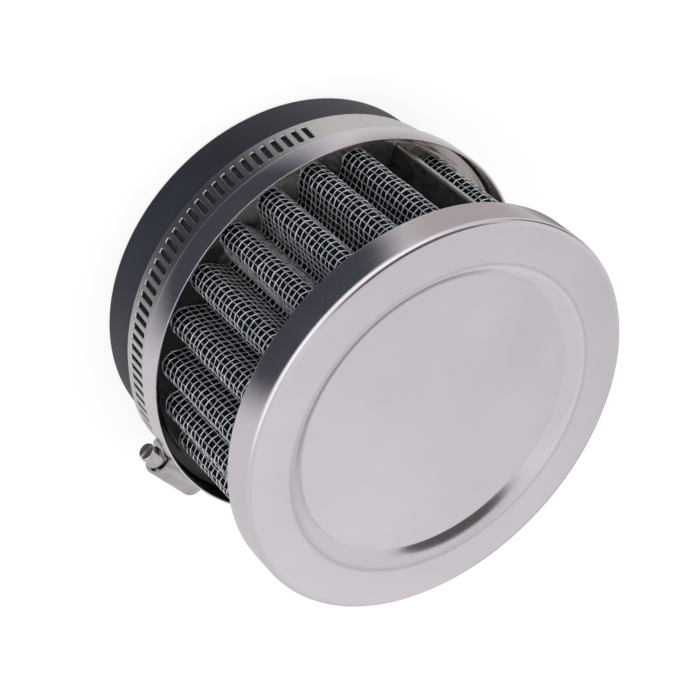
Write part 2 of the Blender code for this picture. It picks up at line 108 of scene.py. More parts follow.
class CapSizes(PropertyGroup):
    """Pressed end caps."""

    radius: length("Radius", "Outside radius of both caps", FRONT_CAP_HIGH.x)
    sheet: length("Sheet", "Thickness of the pressed sheet", 0.0006)
    bend: length("Corner Bend", "Bend of the cap corner at the middle of the sheet", 0.0010)
    front_z: length("Front Face", "Height of the front rim", FRONT_CAP_HIGH.z)
    front_lip_z: length("Front Lip", "Height of the front skirt's edge", FRONT_CAP_LOW.z)
    lip_width: length("Lip Width", "Inward turn of the front skirt's edge", 0.0010)
    lip_bend: length("Lip Bend", "Bend of the front skirt's edge", 0.00045)
    recess_depth: length("Recess Depth", "Depth of the pressed disc", 0.0022)
    recess_floor: length("Recess Floor", "Radius of the flat disc", 0.0325)
    recess_rim: length("Recess Rim", "Radius at which the recess begins", 0.0363)
    recess_start: amount("Recess Start", "Share of the depth that an even slope would take", 0.18)
    rear_z: length("Rear Cap", "Height of the rear cap's back", REAR_CAP_LOW.z)
    rear_lip_z: length("Rear Lip", "Height of the rear skirt's edge", REAR_CAP_HIGH.z)
    hole: length("Hole Radius", "Hole of the rear cap round the neck's groove", 0.0310)
    steps: IntProperty(name="Steps", description="Steps round a cap", default=256, min=32)


class NeckSizes(PropertyGroup):
    """Moulded rubber neck."""

    radius: length("Radius", "Outside radius of the neck", 0.0434)
    wall: length("Wall", "Thickness of the neck's wall", 0.0053)
    length: length("Length", "Length behind the rear cap", 0.0195)
    flange: length("Flange", "Thickness of the stop inside", 0.0025)
    mouth_round: length("Mouth Round", "Rounding of the outer edge at the mouth", 0.0010)
    mouth_chamfer: length("Mouth Chamfer", "Chamfer of the bore at the mouth", 0.0008)
    lip_radius: length("Lip Radius", "Outside radius of the lip in the rear cap", 0.0321)
    lip: length("Lip", "Thickness of the lip", 0.0012)
    throat: length("Throat", "Radius of the clear way through", 0.0295)
    steps: IntProperty(name="Steps", description="Steps round the neck", default=224, min=32)


class ElementSizes(PropertyGroup):
    """Pleated pack and its wire cloth."""

    pleats: IntProperty(name="Pleats", description="Pleat places, one of them the seam clip's",
                        default=24, min=6)
    outer_radius: length("Outer Radius", "Radius over the pleat tips", 0.0426)
    inner_radius: length("Inner Radius", "Radius inside the pleat valleys", 0.0327)
    tip_round: length("Tip Round", "Outside radius of a pleat tip", 0.0032)
    valley_round: length("Valley Round", "Inside radius of a pleat valley", 0.00265)
    half: length("Half Pack", "Middle of the pack to the outside of a cloth", 0.00115)
    gauze_half: length("Half Gauze", "Middle of the pack to the gauze's face", 0.00079)
    rear_z: length("Rear End", "Height of the pack's rear end", GAUZE_LOW.z)
    front_z: length("Front End", "Height of the pack's front end", GAUZE_HIGH.z)
    seam: angle("Seam", "Angle of the seam clip", 208.5)
    clip: length("Clip", "Thickness of the seam clip", 0.0010)
    gap: length("Gap", "Gap between neighbours", 0.0003)
    mesh_size: length("Mesh", "Distance between neighbouring wires", 0.00156)
    wire: length("Wire", "Radius of one wire", 0.000143)
    weave: length("Weave", "Half the rise of a wire over its neighbours", 0.00009)
    wander: length("Wander", "How far the cloth strays from even", 0.00050)
    drift: length("Drift", "How far its rings stray along the axis", 0.0018)
    sides: IntProperty(name="Sides", description="Sides of a wire", default=6, min=3, max=8)


class ClampSizes(PropertyGroup):
    """Hose clamp with its slotted band, worm housing and screw."""

    band_z: length("Band Middle", "Height of the middle of the band",
                   (BAND_LOW.z + BAND_HIGH.z) / 2)
    band_width: length("Band Width", "Width of the band", BAND_HIGH.z - BAND_LOW.z)
    band_radius: length("Band Radius", "Inner radius of the band", 0.0437)
    band_sheet: length("Band Sheet", "Thickness of the band", 0.0006)
    gap: length("Gap", "Gap between neighbours", 0.0003)
    rise_start: angle("Rise Start", "Where the tail starts to climb", 320.0)
    rise_end: angle("Rise End", "Where the tail has climbed", 344.0)
    slots: IntProperty(name="Slots", description="Slots in the tail", default=48, min=1)
    slots_start: angle("Slots Start", "Where the first slot begins", 232.0)
    slot_pitch: angle("Slot Pitch", "Turn from one slot to the next", 3.24)
    slot_width: angle("Slot Width", "Turn that one slot covers", 1.55)
    slot_slant: angle("Slot Slant", "Turn between the ends of a slot", 0.5)
    slot_margin: length("Slot Margin", "Band left beside a slot", 0.0016)
    slot_rim: length("Slot Rim", "Chamfer round the outside of a slot", 0.00012)
    tail_end: angle("Tail End", "Plain end of the tail beyond the last slot", 4.0)
    housing_length: length("Housing Length", "Length of the worm housing", 0.0130)
    housing_wall: length("Housing Wall", "Wall of the worm housing", 0.0006)
    housing_side: length("Housing Side", "Side wall of the worm housing", 0.0005)
    screw_x: length("Screw Axis", "Distance of the screw from the filter's axis",
                    SCREW_TURN["pos_m"][0])
    core: length("Core", "Radius of the screw's core", 0.0020)
    thread: length("Thread", "Outside radius of the worm thread", 0.0026)
    collar: length("Collar", "Radius of the flange under the head", 0.0025)
    collar_length: length("Collar Length", "Thickness of that flange", 0.0010)
    head_flats: length("Head", "Size of the head across its flats", 0.0038)
    head_length: length("Head Length", "Length of the hexagon head", 0.0030)
    driver_width: length("Driver Slot", "Width of the driver slot", 0.0008)
    driver_depth: length("Driver Depth", "Depth of the driver slot", 0.0010)
    pilot: length("Pilot", "Radius of the screw's reduced tip", 0.0014)
    pilot_length: length("Pilot Length", "Length of that tip", 0.0010)


class FilterColours(PropertyGroup):
    """Colours of the finishes."""

    plate: colour("Cap Plate", "Polished plate of the end caps", (0.865, 0.825, 0.872))
    steel: colour("Clamp Steel", "Rolled steel of the clamp", (0.74, 0.72, 0.71))
    pressed: colour("Pressed Steel", "Duller steel of the worm housing", (0.60, 0.585, 0.575))
    rubber: colour("Rubber", "Moulded rubber of the neck", (0.029, 0.032, 0.048))
    gauze: colour("Gauze", "Dark cotton gauze", (0.005, 0.007, 0.013))
    wire: colour("Wire", "Bright wire cloth", (0.94, 0.97, 1.0))
    clip: colour("Seam Clip", "Dark folded strip", (0.10, 0.10, 0.105))
    resin: colour("Resin", "Cured resin in the caps", (0.028, 0.026, 0.027))


class StudioSettings(PropertyGroup):
    """Floor, lamps and camera."""

    camera_place: FloatVectorProperty(name="Camera", description="Place of the camera", size=3,
                                      default=(-0.013260, -0.300443, 0.306630),
                                      subtype="TRANSLATION", unit="LENGTH", precision=5)
    camera_turn: FloatVectorProperty(name="Camera Turn", description="Turn of the camera",
                                     size=3, subtype="EULER", unit="ROTATION",
                                     default=(-0.636620, -0.572948, 2.458125))
    lens: amount("Lens", "Focal length in millimetres on a 36 mm sensor", 98.126)
    room: amount("Room", "Brightness of the room's light", 0.62)
    key: amount("Key Lamp", "Power of the key lamp in watts", 1.34)
    fill: amount("Fill Lamp", "Power of the fill lamp in watts", 0.61)


SETTINGS = {
    "filter_caps": CapSizes,
    "filter_neck": NeckSizes,
    "filter_element": ElementSizes,
    "filter_clamp": ClampSizes,
    "filter_colours": FilterColours,
    "filter_studio": StudioSettings,
}


# Node helpers

class NodeBench:
    """Adds nodes to a tree and joins them up."""

    def __init__(self, tree):
        self.tree = tree

    def add(self, kind, settings=None, **inputs):
        """A new node. An input is a value or the output socket that feeds it."""
        node = self.tree.nodes.new(kind)
        for key, value in (settings or {}).items():
            setattr(node, key, value)
        self.fill(node, **inputs)
        return node

    def out(self, kind, settings=None, **inputs):
        """The first output of a new node."""
        return self.add(kind, settings, **inputs).outputs[0]

    def fill(self, node, **inputs):
        """Feed inputs by name, with underscores for spaces, or by in0, in1 and so on."""
        for key, value in inputs.items():
            if key[:2] == "in" and key[2:].isdigit():
                socket = node.inputs[int(key[2:])]
            else:
                socket = next(s for s in node.inputs
                              if s.name.replace(" ", "_") == key and s.enabled)
            self.feed(socket, value)

    def feed(self, socket, value):
        """Join an output to a socket, or set the socket's own value."""
        if isinstance(value, bpy.types.NodeSocket):
            self.tree.links.new(value, socket)
        else:
            socket.default_value = value

    def math(self, operation, first, second=0.0):
        """The result of a Math node."""
        return self.out("ShaderNodeMath", {"operation": operation}, in0=first, in1=second)

    def plus(self, first, second):
        """The sum of two numbers or sockets."""
        return self.math("ADD", first, second)

    def minus(self, first, second):
        """The difference of two numbers or sockets."""
        return self.math("SUBTRACT", first, second)

    def times(self, first, second):
        """The product of two numbers or sockets."""
        return self.math("MULTIPLY", first, second)

    def vector(self, x=0.0, y=0.0, z=0.0):
        """A vector from three numbers or sockets."""
        return self.out("ShaderNodeCombineXYZ", X=x, Y=y, Z=z)

    def split(self, vector):
        """The three parts of a vector."""
        return self.add("ShaderNodeSeparateXYZ", in0=vector).outputs

    def vector_math(self, operation, first, **inputs):
        """The vector that a Vector Math node gives."""
        return self.out("ShaderNodeVectorMath", {"operation": operation}, in0=first, **inputs)

    def reach(self, vector):
        """The length of a vector."""
        return self.add("ShaderNodeVectorMath", {"operation": "LENGTH"},
                        in0=vector).outputs["Value"]

    def span(self, value, from_low, from_high, to_low, to_high, kind="LINEAR"):
        """The result of a Map Range node."""
        return self.out("ShaderNodeMapRange", {"interpolation_type": kind}, in0=value,
                        in1=from_low, in2=from_high, in3=to_low, in4=to_high)

    def blend(self, share, first, second):
        """A colour between two colours."""
        node = self.tree.nodes.new("ShaderNodeMix")
        node.data_type = "RGBA"
        self.fill(node, in0=share, in6=first, in7=second)
        return node.outputs[2]

    def shades(self, pattern, low, high, rgb, first, second):
        """Two levels of a colour, blended as a pattern goes from low to high."""
        return self.blend(self.span(pattern, low, high, 0.0, 1.0), with_alpha(rgb, first),
                          with_alpha(rgb, second))

    def place(self):
        """Where a point lies on the piece, in metres of the frame."""
        return self.add("ShaderNodeTexCoord").outputs["Object"]

    def noise(self, place, **inputs):
        """The value of a Noise Texture."""
        return self.out("ShaderNodeTexNoise", in0=place, **inputs)

    def bump(self, height, **inputs):
        """A normal that follows a height."""
        return self.out("ShaderNodeBump", Height=height, **inputs)

    def mix(self, share, first, second):
        """A shader between two shaders."""
        return self.out("ShaderNodeMixShader", in0=share, in1=first, in2=second)


class Finish(NodeBench):
    """A new material and the bench for its nodes."""

    def __init__(self, name):
        self.material = bpy.data.materials.new(name)
        self.material.use_nodes = True
        super().__init__(self.material.node_tree)

    def coat(self, **inputs):
        """Feed the Principled shader and return the material."""
        self.fill(self.tree.nodes["Principled BSDF"], **inputs)
        return self.material

    def show(self, surface):
        """Show another shader in place of the Principled one and return the material."""
        nodes = self.tree.nodes
        nodes.remove(nodes["Principled BSDF"])
        self.tree.links.new(surface, nodes["Material Output"].inputs["Surface"])
        return self.material


def with_alpha(rgb, level=1.0):
    """A colour for a node socket, darkened or lightened by a level."""
    return (*(min(1.0, c * level) for c in rgb), 1.0)


def polar_coordinates(bench):
    """Place, and its radius, angle and height about the filter's axis."""
    place = bench.place()
    x, y, height = bench.split(place)
    radius = bench.reach(bench.vector(x, y))
    return place, radius, bench.math("ARCTAN2", y, x), height


# Finishes

SMEARED_PLATE = (0.42, 0.37, 0.31, 1.0)
# THICK_RESIN and PLATE_UNDER_RESIN are the dark and light ends of the resin's painted reflection
# and shade
THICK_RESIN = (0.014, 0.013, 0.013, 1.0)
PLATE_UNDER_RESIN = (0.62, 0.57, 0.51, 1.0)
# Light grey of the painted highlight on the seam clip's outer fold
PAINTED_EDGE_HIGHLIGHT = (0.72, 0.71, 0.70, 1.0)
HEAD_SHADOW = (0.03, 0.03, 0.03, 1.0)
BLACK = (0.0, 0.0, 0.0, 1.0)
WHITE = (1.0, 1.0, 1.0, 1.0)
GAUZE_UV = "meshes"
THREADS_PER_MESH = 7


def resin_and_painted_shade(bench, place):
    """How dark the resin is made: plain metal at the -X side, dark resin at the +X side, a
    side-to-side gradient that is painted reflection and shade.
    """
    smears = bench.noise(place, Scale=120.0, Detail=3.0, Distortion=0.8)
    spread = bench.plus(bench.split(place)[0], bench.span(smears, 0.3, 0.7, -0.011, 0.011))
    return bench.span(spread, -0.020, 0.002, 0.05, 1.0)


def plate_finish(name, rgb, roughness, lines, crease=0.0, inside=None):
    """Polished plate with fine lines round the axis, faint haze and a slightly uneven face.

    A crease at a radius is darkened with painted shade, and resin smears the plate inside a radius
    and above a height, going from thin at the -X side to thick at the +X side as painted
    reflection and shade.
    """
    bench = Finish(name)
    place, radius, turn, height = polar_coordinates(bench)
    along = bench.vector(bench.times(radius, 6700.0), bench.times(height, 6700.0),
                         bench.times(turn, 2.2))
    grain = bench.noise(along, Scale=1.0, Detail=3.0, Roughness=0.6)
    haze = bench.noise(place, Scale=44.0, Detail=4.0, Roughness=0.55)
    dust = bench.noise(place, Scale=3300.0, Detail=2.0)
    tone = bench.shades(haze, 0.3, 0.7, rgb, 0.95, 1.03)
    metal = 1.0
    if crease:
        # Painted shade: a thin dark line along the crease at the rim of the recess
        beside = bench.math("ABSOLUTE", bench.minus(radius, crease))
        crease_shade = bench.span(beside, 0.0001, 0.0007, 0.14, 0.0, "SMOOTHSTEP")
        tone = bench.blend(crease_shade, tone, BLACK)
    if inside:
        coated = bench.times(bench.math("LESS_THAN", radius, inside[0]),
                             bench.math("GREATER_THAN", height, inside[1]))
        # Painted reflection and shade: the resin inside the cap runs from thin at -X to thick and
        # dark at +X
        resin = bench.times(coated, resin_and_painted_shade(bench, place))
        tone = bench.blend(bench.times(coated, 0.6), tone, SMEARED_PLATE)
        tone = bench.blend(resin, tone, THICK_RESIN)
        metal = bench.minus(1.0, resin)
    rough = bench.plus(bench.span(haze, 0.3, 0.7, -0.03, 0.04),
                       bench.span(grain, 0.3, 0.7, roughness - lines / 2, roughness + lines / 2))
    waves = bench.noise(place, Scale=70.0, Detail=1.0)
    uneven = bench.bump(waves, Strength=0.12, Distance=0.00047)
    brushed = bench.bump(grain, Strength=0.5 * lines, Distance=0.00004, Normal=uneven)
    return bench.coat(Base_Color=tone, Metallic=metal, Roughness=rough,
                      Normal=bench.bump(dust, Strength=0.05, Distance=0.00003, Normal=brushed))


def rubber_finish(name, rgb):
    """Moulded rubber: fine grain, a bloom that lightens it in patches, soft sheen."""
    bench = Finish(name)
    place = bench.place()
    grain = bench.noise(place, Scale=2400.0, Detail=4.0, Roughness=0.65)
    bloom = bench.noise(place, Scale=59.0, Detail=5.0, Roughness=0.6)
    return bench.coat(Base_Color=bench.shades(bloom, 0.35, 0.75, rgb, 0.82, 1.3),
                      Roughness=bench.span(bloom, 0.3, 0.7, 0.48, 0.62),
                      Normal=bench.bump(grain, Strength=0.35, Distance=0.00006))


def gauze_finish(name, rgb):
    """Cotton gauze pressed into the meshes of the wire cloth, its threads just visible."""
    bench = Finish(name)
    uv = bench.out("ShaderNodeUVMap", {"uv_map": GAUZE_UV})
    across, up = bench.split(uv)[:2]

    def wave(coordinate, count):
        return bench.math("SINE", bench.times(coordinate, pi * count))

    pillow = bench.times(bench.math("ABSOLUTE", wave(across, 1)),
                         bench.math("ABSOLUTE", wave(up, 1)))
    threads = bench.times(wave(across, THREADS_PER_MESH), wave(up, THREADS_PER_MESH))
    fluff = bench.noise(uv, Scale=5.0, Detail=5.0, Roughness=0.7)
    tone = bench.plus(bench.times(threads, 0.16), fluff)
    height = bench.plus(pillow, bench.times(tone, 0.35))
    return bench.coat(Base_Color=bench.shades(tone, 0.35, 0.75, rgb, 0.45, 1.7),
                      Roughness=0.92, Specular_IOR_Level=0.08,
                      Normal=bench.bump(height, Strength=0.8, Distance=0.0002))


def wire_finish(name, rgb):
    """Drawn wire, brighter and duller from place to place."""
    bench = Finish(name)
    patches = bench.noise(bench.place(), Scale=540.0, Detail=3.0)
    return bench.coat(Base_Color=bench.shades(patches, 0.38, 0.56, rgb, 0.70, 1.0),
                      Roughness=bench.span(patches, 0.38, 0.56, 0.38, 0.20), Metallic=0.64,
                      Normal=bench.bump(patches, Strength=0.15, Distance=0.00002))


def clip_finish(name, rgb, edge_radius):
    """Dark folded strip whose outer fold carries a painted highlight, a light grey along the edge.
    """
    bench = Finish(name)
    radius, _, height = polar_coordinates(bench)[1:]
    drawn = bench.vector(bench.times(radius, 900.0), bench.times(height, 260.0))
    grain = bench.noise(drawn, Scale=1.0, Detail=4.0)
    # Painted highlight: the outer fold is blended towards a light grey
    edge = bench.span(radius, edge_radius - 0.0007, edge_radius - 0.00015, 0.0, 1.0)
    painted_highlight = bench.times(edge, bench.span(grain, 0.3, 0.5, 0.6, 1.0))
    dark = bench.shades(grain, 0.35, 0.65, rgb, 0.6, 1.5)
    return bench.coat(Base_Color=bench.blend(painted_highlight, dark, PAINTED_EDGE_HIGHLIGHT),
                      Roughness=bench.span(painted_highlight, 0.0, 1.0, 0.55, 0.28), Metallic=0.9,
                      Normal=bench.bump(grain, Strength=0.4, Distance=0.00005))


def resin_finish(name, rgb):
    """Cured resin: dark and glossy, thin enough at the -X side to let the plate through; that
    side-to-side gradient is painted reflection and shade.
    """
    bench = Finish(name)
    place = bench.place()
    waves = bench.noise(place, Scale=330.0, Detail=3.0)
    # Painted reflection and shade: the plate shows through at the -X side, the resin is dark at
    # the +X side
    thin = bench.minus(1.0, resin_and_painted_shade(bench, place))
    return bench.coat(Base_Color=bench.blend(thin, with_alpha(rgb), PLATE_UNDER_RESIN),
                      Metallic=thin, Roughness=bench.span(waves, 0.35, 0.65, 0.34, 0.2),
                      Normal=bench.bump(waves, Strength=0.5, Distance=0.0003))


def steel_finish(name, rgb, centre, roughness, dark_end=None):
    """Rolled steel with fine lines along the screw's direction and small dull spots.

    Beyond a distance along the screw's head the steel is darkened.
    """
    bench = Finish(name)
    moved = bench.out("ShaderNodeMapping", in0=bench.place(),
                      Location=tuple(-c for c in centre))
    x, y, z = bench.split(moved)
    drawn = bench.noise(bench.vector(bench.times(x, 4200.0), bench.times(y, 160.0),
                                     bench.times(z, 4200.0)), Scale=1.0, Detail=2.0)
    spots = bench.noise(moved, Scale=320.0, Detail=4.0)
    tone = bench.shades(spots, 0.4, 0.7, rgb, 1.05, 0.85)
    if dark_end:
        beyond = bench.span(y, -dark_end, -dark_end - 0.00008, 0.0, 0.9)
        tone = bench.blend(beyond, tone, HEAD_SHADOW)
    rough = bench.plus(bench.span(spots, 0.3, 0.7, -0.05, 0.08),
                       bench.span(drawn, 0.3, 0.7, roughness - 0.04, roughness + 0.05))
    return bench.coat(Base_Color=tone, Roughness=rough, Metallic=1.0,
                      Normal=bench.bump(drawn, Strength=0.12, Distance=0.00003))


# Shape helpers

SHARP = 38.0
ON_AXIS = 1e-6


def offset_path(points, distance):
    """Shift an open path sideways, to the left of its direction."""
    shifted = []
    for index, point in enumerate(points):
        after = points[min(index + 1, len(points) - 1)]
        before = points[max(index - 1, 0)]
        first = Vector(point) - Vector(before) if index else Vector(after) - Vector(point)
        second = Vector(after) - Vector(point) if index < len(points) - 1 else first
        first.normalize()
        second.normalize()
        turn = atan2(first.cross(second), first.dot(second))
        normal = Vector((-first.y - second.y, first.x + second.x)).normalized()
        shifted.append(tuple(Vector(point) + normal * (distance / cos(turn / 2))))
    return shifted


def rounded_path(points, bends, closed=False, step=12.0):
    """Replace each corner of a path by an arc of its own bend radius."""
    count = len(points)
    result = []
    for index, point in enumerate(points):
        if bends[index] <= 0 or (not closed and index in (0, count - 1)):
            result.append(tuple(point))
            continue
        corner = Vector(point)
        into = (corner - Vector(points[index - 1])).normalized()
        out = (Vector(points[(index + 1) % count]) - corner).normalized()
        turn = atan2(into.cross(out), into.dot(out))
        side = 1 if turn > 0 else -1
        start = corner - into * bends[index] * tan(abs(turn) / 2)
        centre = start + Vector((-into.y, into.x)) * bends[index] * side
        steps = max(2, ceil(degrees(abs(turn)) / step))
        spoke = start - centre
        for number in range(steps + 1):
            spoke_turned = spoke.copy()
            spoke_turned.rotate(Matrix.Rotation(turn * number / steps, 2))
            result.append(tuple(centre + spoke_turned))
    return result


def sheet_profile(middle, bends, thickness, edge):
    """Closed outline of a bent sheet, with the free edges softened by a small radius."""
    half = thickness / 2
    sides = []
    for sign in (1, -1):
        corners = offset_path(middle, sign * half)
        side_bends = [0.0]
        for index in range(1, len(middle) - 1):
            into = Vector(middle[index]) - Vector(middle[index - 1])
            out = Vector(middle[index + 1]) - Vector(middle[index])
            leftward = 1 if into.cross(out) > 0 else -1
            side_bends.append(bends[index] - leftward * sign * half)
        sides.append(rounded_path(corners, side_bends + [0.0]))
    outline = sides[0] + sides[1][::-1]
    free = {len(sides[0]) - 1, len(sides[0])}
    if middle[0][0] > ON_AXIS:
        free |= {0, len(outline) - 1}
    softened = [edge if index in free else 0.0 for index in range(len(outline))]
    return rounded_path(outline, softened, closed=True, step=30.0)


def stored(data, mesh):
    """Move a bmesh into a mesh."""
    data.to_mesh(mesh)
    data.free()
    return mesh


def finished_mesh(name, data, sharp=SHARP):
    """A mesh from a bmesh, smooth up to an angle."""
    mesh = stored(data, bpy.data.meshes.new(name))
    mesh.shade_smooth()
    mesh.set_sharp_from_angle(angle=radians(sharp))
    return mesh


def placed(name, mesh):
    """An object at the origin that shows a mesh."""
    item = bpy.data.objects.new(name, mesh)
    bpy.context.scene.collection.objects.link(item)
    return item


def turned(name, profile, steps, closed=True):
    """Turn a profile of (r, z) points about Z. An open profile ends on the axis twice."""
    data = bmesh.new()
    turns = [2 * pi * step / steps for step in range(steps)]
    rings = [[data.verts.new((r * cos(t), r * sin(t), z)) for t in turns] if r else
             [data.verts.new((0.0, 0.0, z))] * steps for r, z in profile]
    for lower, upper in zip(rings, rings[1:] + rings[:1] * closed):
        for i in range(steps):
            corners = (lower[i - 1], lower[i], upper[i], upper[i - 1])
            data.faces.new(tuple(dict.fromkeys(corners)))
    bmesh.ops.remove_doubles(data, verts=data.verts, dist=1e-7)
    bmesh.ops.recalc_face_normals(data, faces=data.faces)
    return placed(name, finished_mesh(name, data))


def arc_points(centre, radius, start, end, steps):
    """Points on an arc between two angles in degrees."""
    turns = [radians(start + (end - start) * step / steps) for step in range(steps + 1)]
    return [(centre[0] + radius * cos(t), centre[1] + radius * sin(t)) for t in turns]


def prism(name, outline, low, high, matrix=None):
    """Extrude a closed outline of (x, y) points along Z."""
    data = bmesh.new()
    floor, lid = ([data.verts.new((x, y, z)) for x, y in outline] for z in (low, high))
    data.faces.new(floor)
    data.faces.new(lid)
    for i in range(len(outline)):
        data.faces.new((floor[i - 1], floor[i], lid[i], lid[i - 1]))
    if matrix:
        bmesh.ops.transform(data, verts=data.verts, matrix=matrix)
    bmesh.ops.recalc_face_normals(data, faces=data.faces)
    return placed(name, finished_mesh(name, data))


def settled(item):
    """Turn an object's modifiers into a plain mesh and take the modifiers off."""
    graph = bpy.context.evaluated_depsgraph_get()
    graph.update()
    mesh = bpy.data.meshes.new_from_object(item.evaluated_get(graph), depsgraph=graph)
    item.modifiers.clear()
    old = item.data
    item.data = mesh
    bpy.data.meshes.remove(old)
    return item


def cut(item, cutter, operation="DIFFERENCE"):
    """Cut one object with another, or join them, and take the cutter away."""
    modifier = item.modifiers.new(operation.lower(), "BOOLEAN")
    modifier.operation = operation
    modifier.solver = "EXACT"
    modifier.object = cutter
    settled(item)
    bpy.data.objects.remove(cutter, do_unlink=True)
    return item


def soften(item, width, limit=32.0):
    """Round an object's edges that turn by more than a limit in degrees."""
    data = bmesh.new()
    data.from_mesh(item.data)
    bmesh.ops.remove_doubles(data, verts=data.verts, dist=2e-6)
    bmesh.ops.dissolve_limit(data, angle_limit=radians(1.0), verts=data.verts, edges=data.edges)
    stored(data, item.data)
    bevel = item.modifiers.new("soft edges", "BEVEL")
    bevel.width = width
    bevel.segments = 2
    bevel.limit_method = "ANGLE"
    bevel.angle_limit = radians(limit)
    bevel.harden_normals = False
    bevel.use_clamp_overlap = True
    settled(item)
    item.data.shade_smooth()
    item.data.set_sharp_from_angle(angle=radians(SHARP))
    return item


def dress(item, material, slot, body, *nodes):
    """Give a piece its material, its body and the solids that it stands for."""
    item.data.materials.clear()
    item.data.materials.append(material)
    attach(item, body)
    if nodes:
        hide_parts(*nodes)
    return item


def repaint(node, material):
    """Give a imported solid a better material."""
    item = frame["nodes"][node]
    item.data.materials.clear()
    item.data.materials.append(material)


# Pleats

GAUZE_STEPS = (14, 8)
GAUZE_SHARP = 60.0


def pleat_line(element, offset, tip_steps, valley_steps):
    """Open line round the pleats, offset outwards, from one side of the clip to the other."""
    round_sum = element.tip_round + element.valley_round - element.half * 2
    tip_r = element.outer_radius - element.tip_round
    valley_r = element.inner_radius + element.valley_round
    pitch = 360.0 / element.pleats
    half_pitch = radians(pitch / 2)
    dx, dy = valley_r * cos(half_pitch) - tip_r, valley_r * sin(half_pitch)
    tip_half = degrees(atan2(dy, dx) - acos(round_sum / hypot(dx, dy)))
    valley_half = tip_half - pitch / 2
    tip_bend = element.tip_round - element.half + offset
    valley_bend = element.valley_round - element.half - offset
    side = element.clip / 2 + element.gap
    line = []
    for index in range(element.pleats):
        crest, valley = pitch * index, pitch * (index + 0.5)
        if index:
            centre = (tip_r * cos(radians(crest)), tip_r * sin(radians(crest)))
            line += arc_points(centre, tip_bend, crest - tip_half, crest + tip_half, tip_steps)
        centre = (valley_r * cos(radians(valley)), valley_r * sin(radians(valley)))
        start = 0.0 if index == 0 else valley_half
        end = 0.0 if index == element.pleats - 1 else -valley_half
        line += arc_points(centre, valley_bend, valley + 180 + start, valley + 180 + end,
                           valley_steps)
    bottom = valley_r - valley_bend
    reach = (bottom * sin(half_pitch) - side) / cos(half_pitch)
    at_clip = bottom * cos(half_pitch) + reach * sin(half_pitch)
    line = [(at_clip, side)] + line + [(at_clip, -side)]
    spin = Matrix.Rotation(element.seam, 2)
    return [tuple(spin @ Vector(point)) for point in line]


def make_gauze(element, material):
    """Pleated gauze as one thick sheet, with its UV map in meshes of the wire cloth."""
    skins = [pleat_line(element, side * element.gauze_half, *GAUZE_STEPS) for side in (1, -1)]
    data = bmesh.new()
    layer = data.loops.layers.uv.new(GAUZE_UV)
    reach = [0.0]
    middle = pleat_line(element, 0.0, *GAUZE_STEPS)
    for before, after in zip(middle, middle[1:]):
        reach.append(reach[-1] + hypot(after[0] - before[0], after[1] - before[1]))
    tall = (element.front_z - element.rear_z) / element.mesh_size
    rows = [[[data.verts.new((x, y, z)) for x, y in line]
             for z in (element.rear_z, element.front_z)] for line in skins]
    places = {}
    for skin in rows:
        for level, line in enumerate(skin):
            for index, vert in enumerate(line):
                places[vert] = (reach[index] / element.mesh_size, level * tall)
    last = len(middle) - 1
    (rear_out, front_out), (rear_in, front_in) = rows
    for i in range(last):
        data.faces.new((rear_out[i], rear_out[i + 1], front_out[i + 1], front_out[i]))
        data.faces.new((rear_in[i + 1], rear_in[i], front_in[i], front_in[i + 1]))
        data.faces.new((front_out[i], front_out[i + 1], front_in[i + 1], front_in[i]))
        data.faces.new((rear_out[i + 1], rear_out[i], rear_in[i], rear_in[i + 1]))
    data.faces.new((rear_out[0], front_out[0], front_in[0], rear_in[0]))
    data.faces.new((rear_out[last], rear_in[last], front_in[last], front_out[last]))
    bmesh.ops.recalc_face_normals(data, faces=data.faces)
    for face in data.faces:
        for loop in face.loops:
            loop[layer].uv = places[loop.vert]
    item = placed("gauze_pleats", finished_mesh("gauze_pleats", data, GAUZE_SHARP))
    return dress(item, material, "dark_gauze", FILTER_BODY, "filter_gauze")


# Wire cloth

SOCKET_KINDS = {float: "NodeSocketFloat", int: "NodeSocketInt",
                bpy.types.Object: "NodeSocketObject", bpy.types.Material: "NodeSocketMaterial"}
CLOTH_STEPS = (18, 10)
HIDDEN_SIDES = 3


class ShapeTree(NodeBench):
    """A geometry node tree with an input for each named value, and the geometry it starts on."""

    def __init__(self, name, values):
        super().__init__(bpy.data.node_groups.new(name, "GeometryNodeTree"))
        interface = self.tree.interface
        interface.new_socket("Geometry", in_out="INPUT", socket_type="NodeSocketGeometry")
        for label, value in values.items():
            socket = interface.new_socket(label, in_out="INPUT",
                                          socket_type=SOCKET_KINDS[type(value)])
            socket.default_value = value
        interface.new_socket("Geometry", in_out="OUTPUT", socket_type="NodeSocketGeometry")
        self.given = self.tree.nodes.new("NodeGroupInput").outputs

    def odd(self):
        """1 at every second point of the geometry, 0 at the others."""
        return self.math("MODULO", self.out("GeometryNodeInputIndex"), 2.0)

    def zigzag(self, curve, direction, rise):
        """Shift every second point of a curve one way and the others the other way."""
        side = self.times(self.minus(1.0, self.times(self.odd(), 2.0)), rise)
        return self.out("GeometryNodeSetPosition", Geometry=curve,
                        Offset=self.vector_math("SCALE", direction, Scale=side))

    def resampled(self, curve, count):
        """A curve with a number of evenly spaced points."""
        return self.out("GeometryNodeResampleCurve", {"mode": "COUNT"}, Curve=curve, Count=count)

    def tube(self, curve, section):
        """A section swept along a curve, with its ends closed."""
        return self.out("GeometryNodeCurveToMesh", Curve=curve, Profile_Curve=section,
                        Fill_Caps=True)

    def close(self, geometry):
        """End the tree: realise instances, shade smooth and set the material."""
        real = self.out("GeometryNodeRealizeInstances", Geometry=geometry)
        smooth = self.out("GeometryNodeSetShadeSmooth", Geometry=real)
        coated = self.out("GeometryNodeSetMaterial", Geometry=smooth,
                          Material=self.given["Material"])
        self.tree.links.new(coated, self.tree.nodes.new("NodeGroupOutput").inputs[0])
        return self.tree


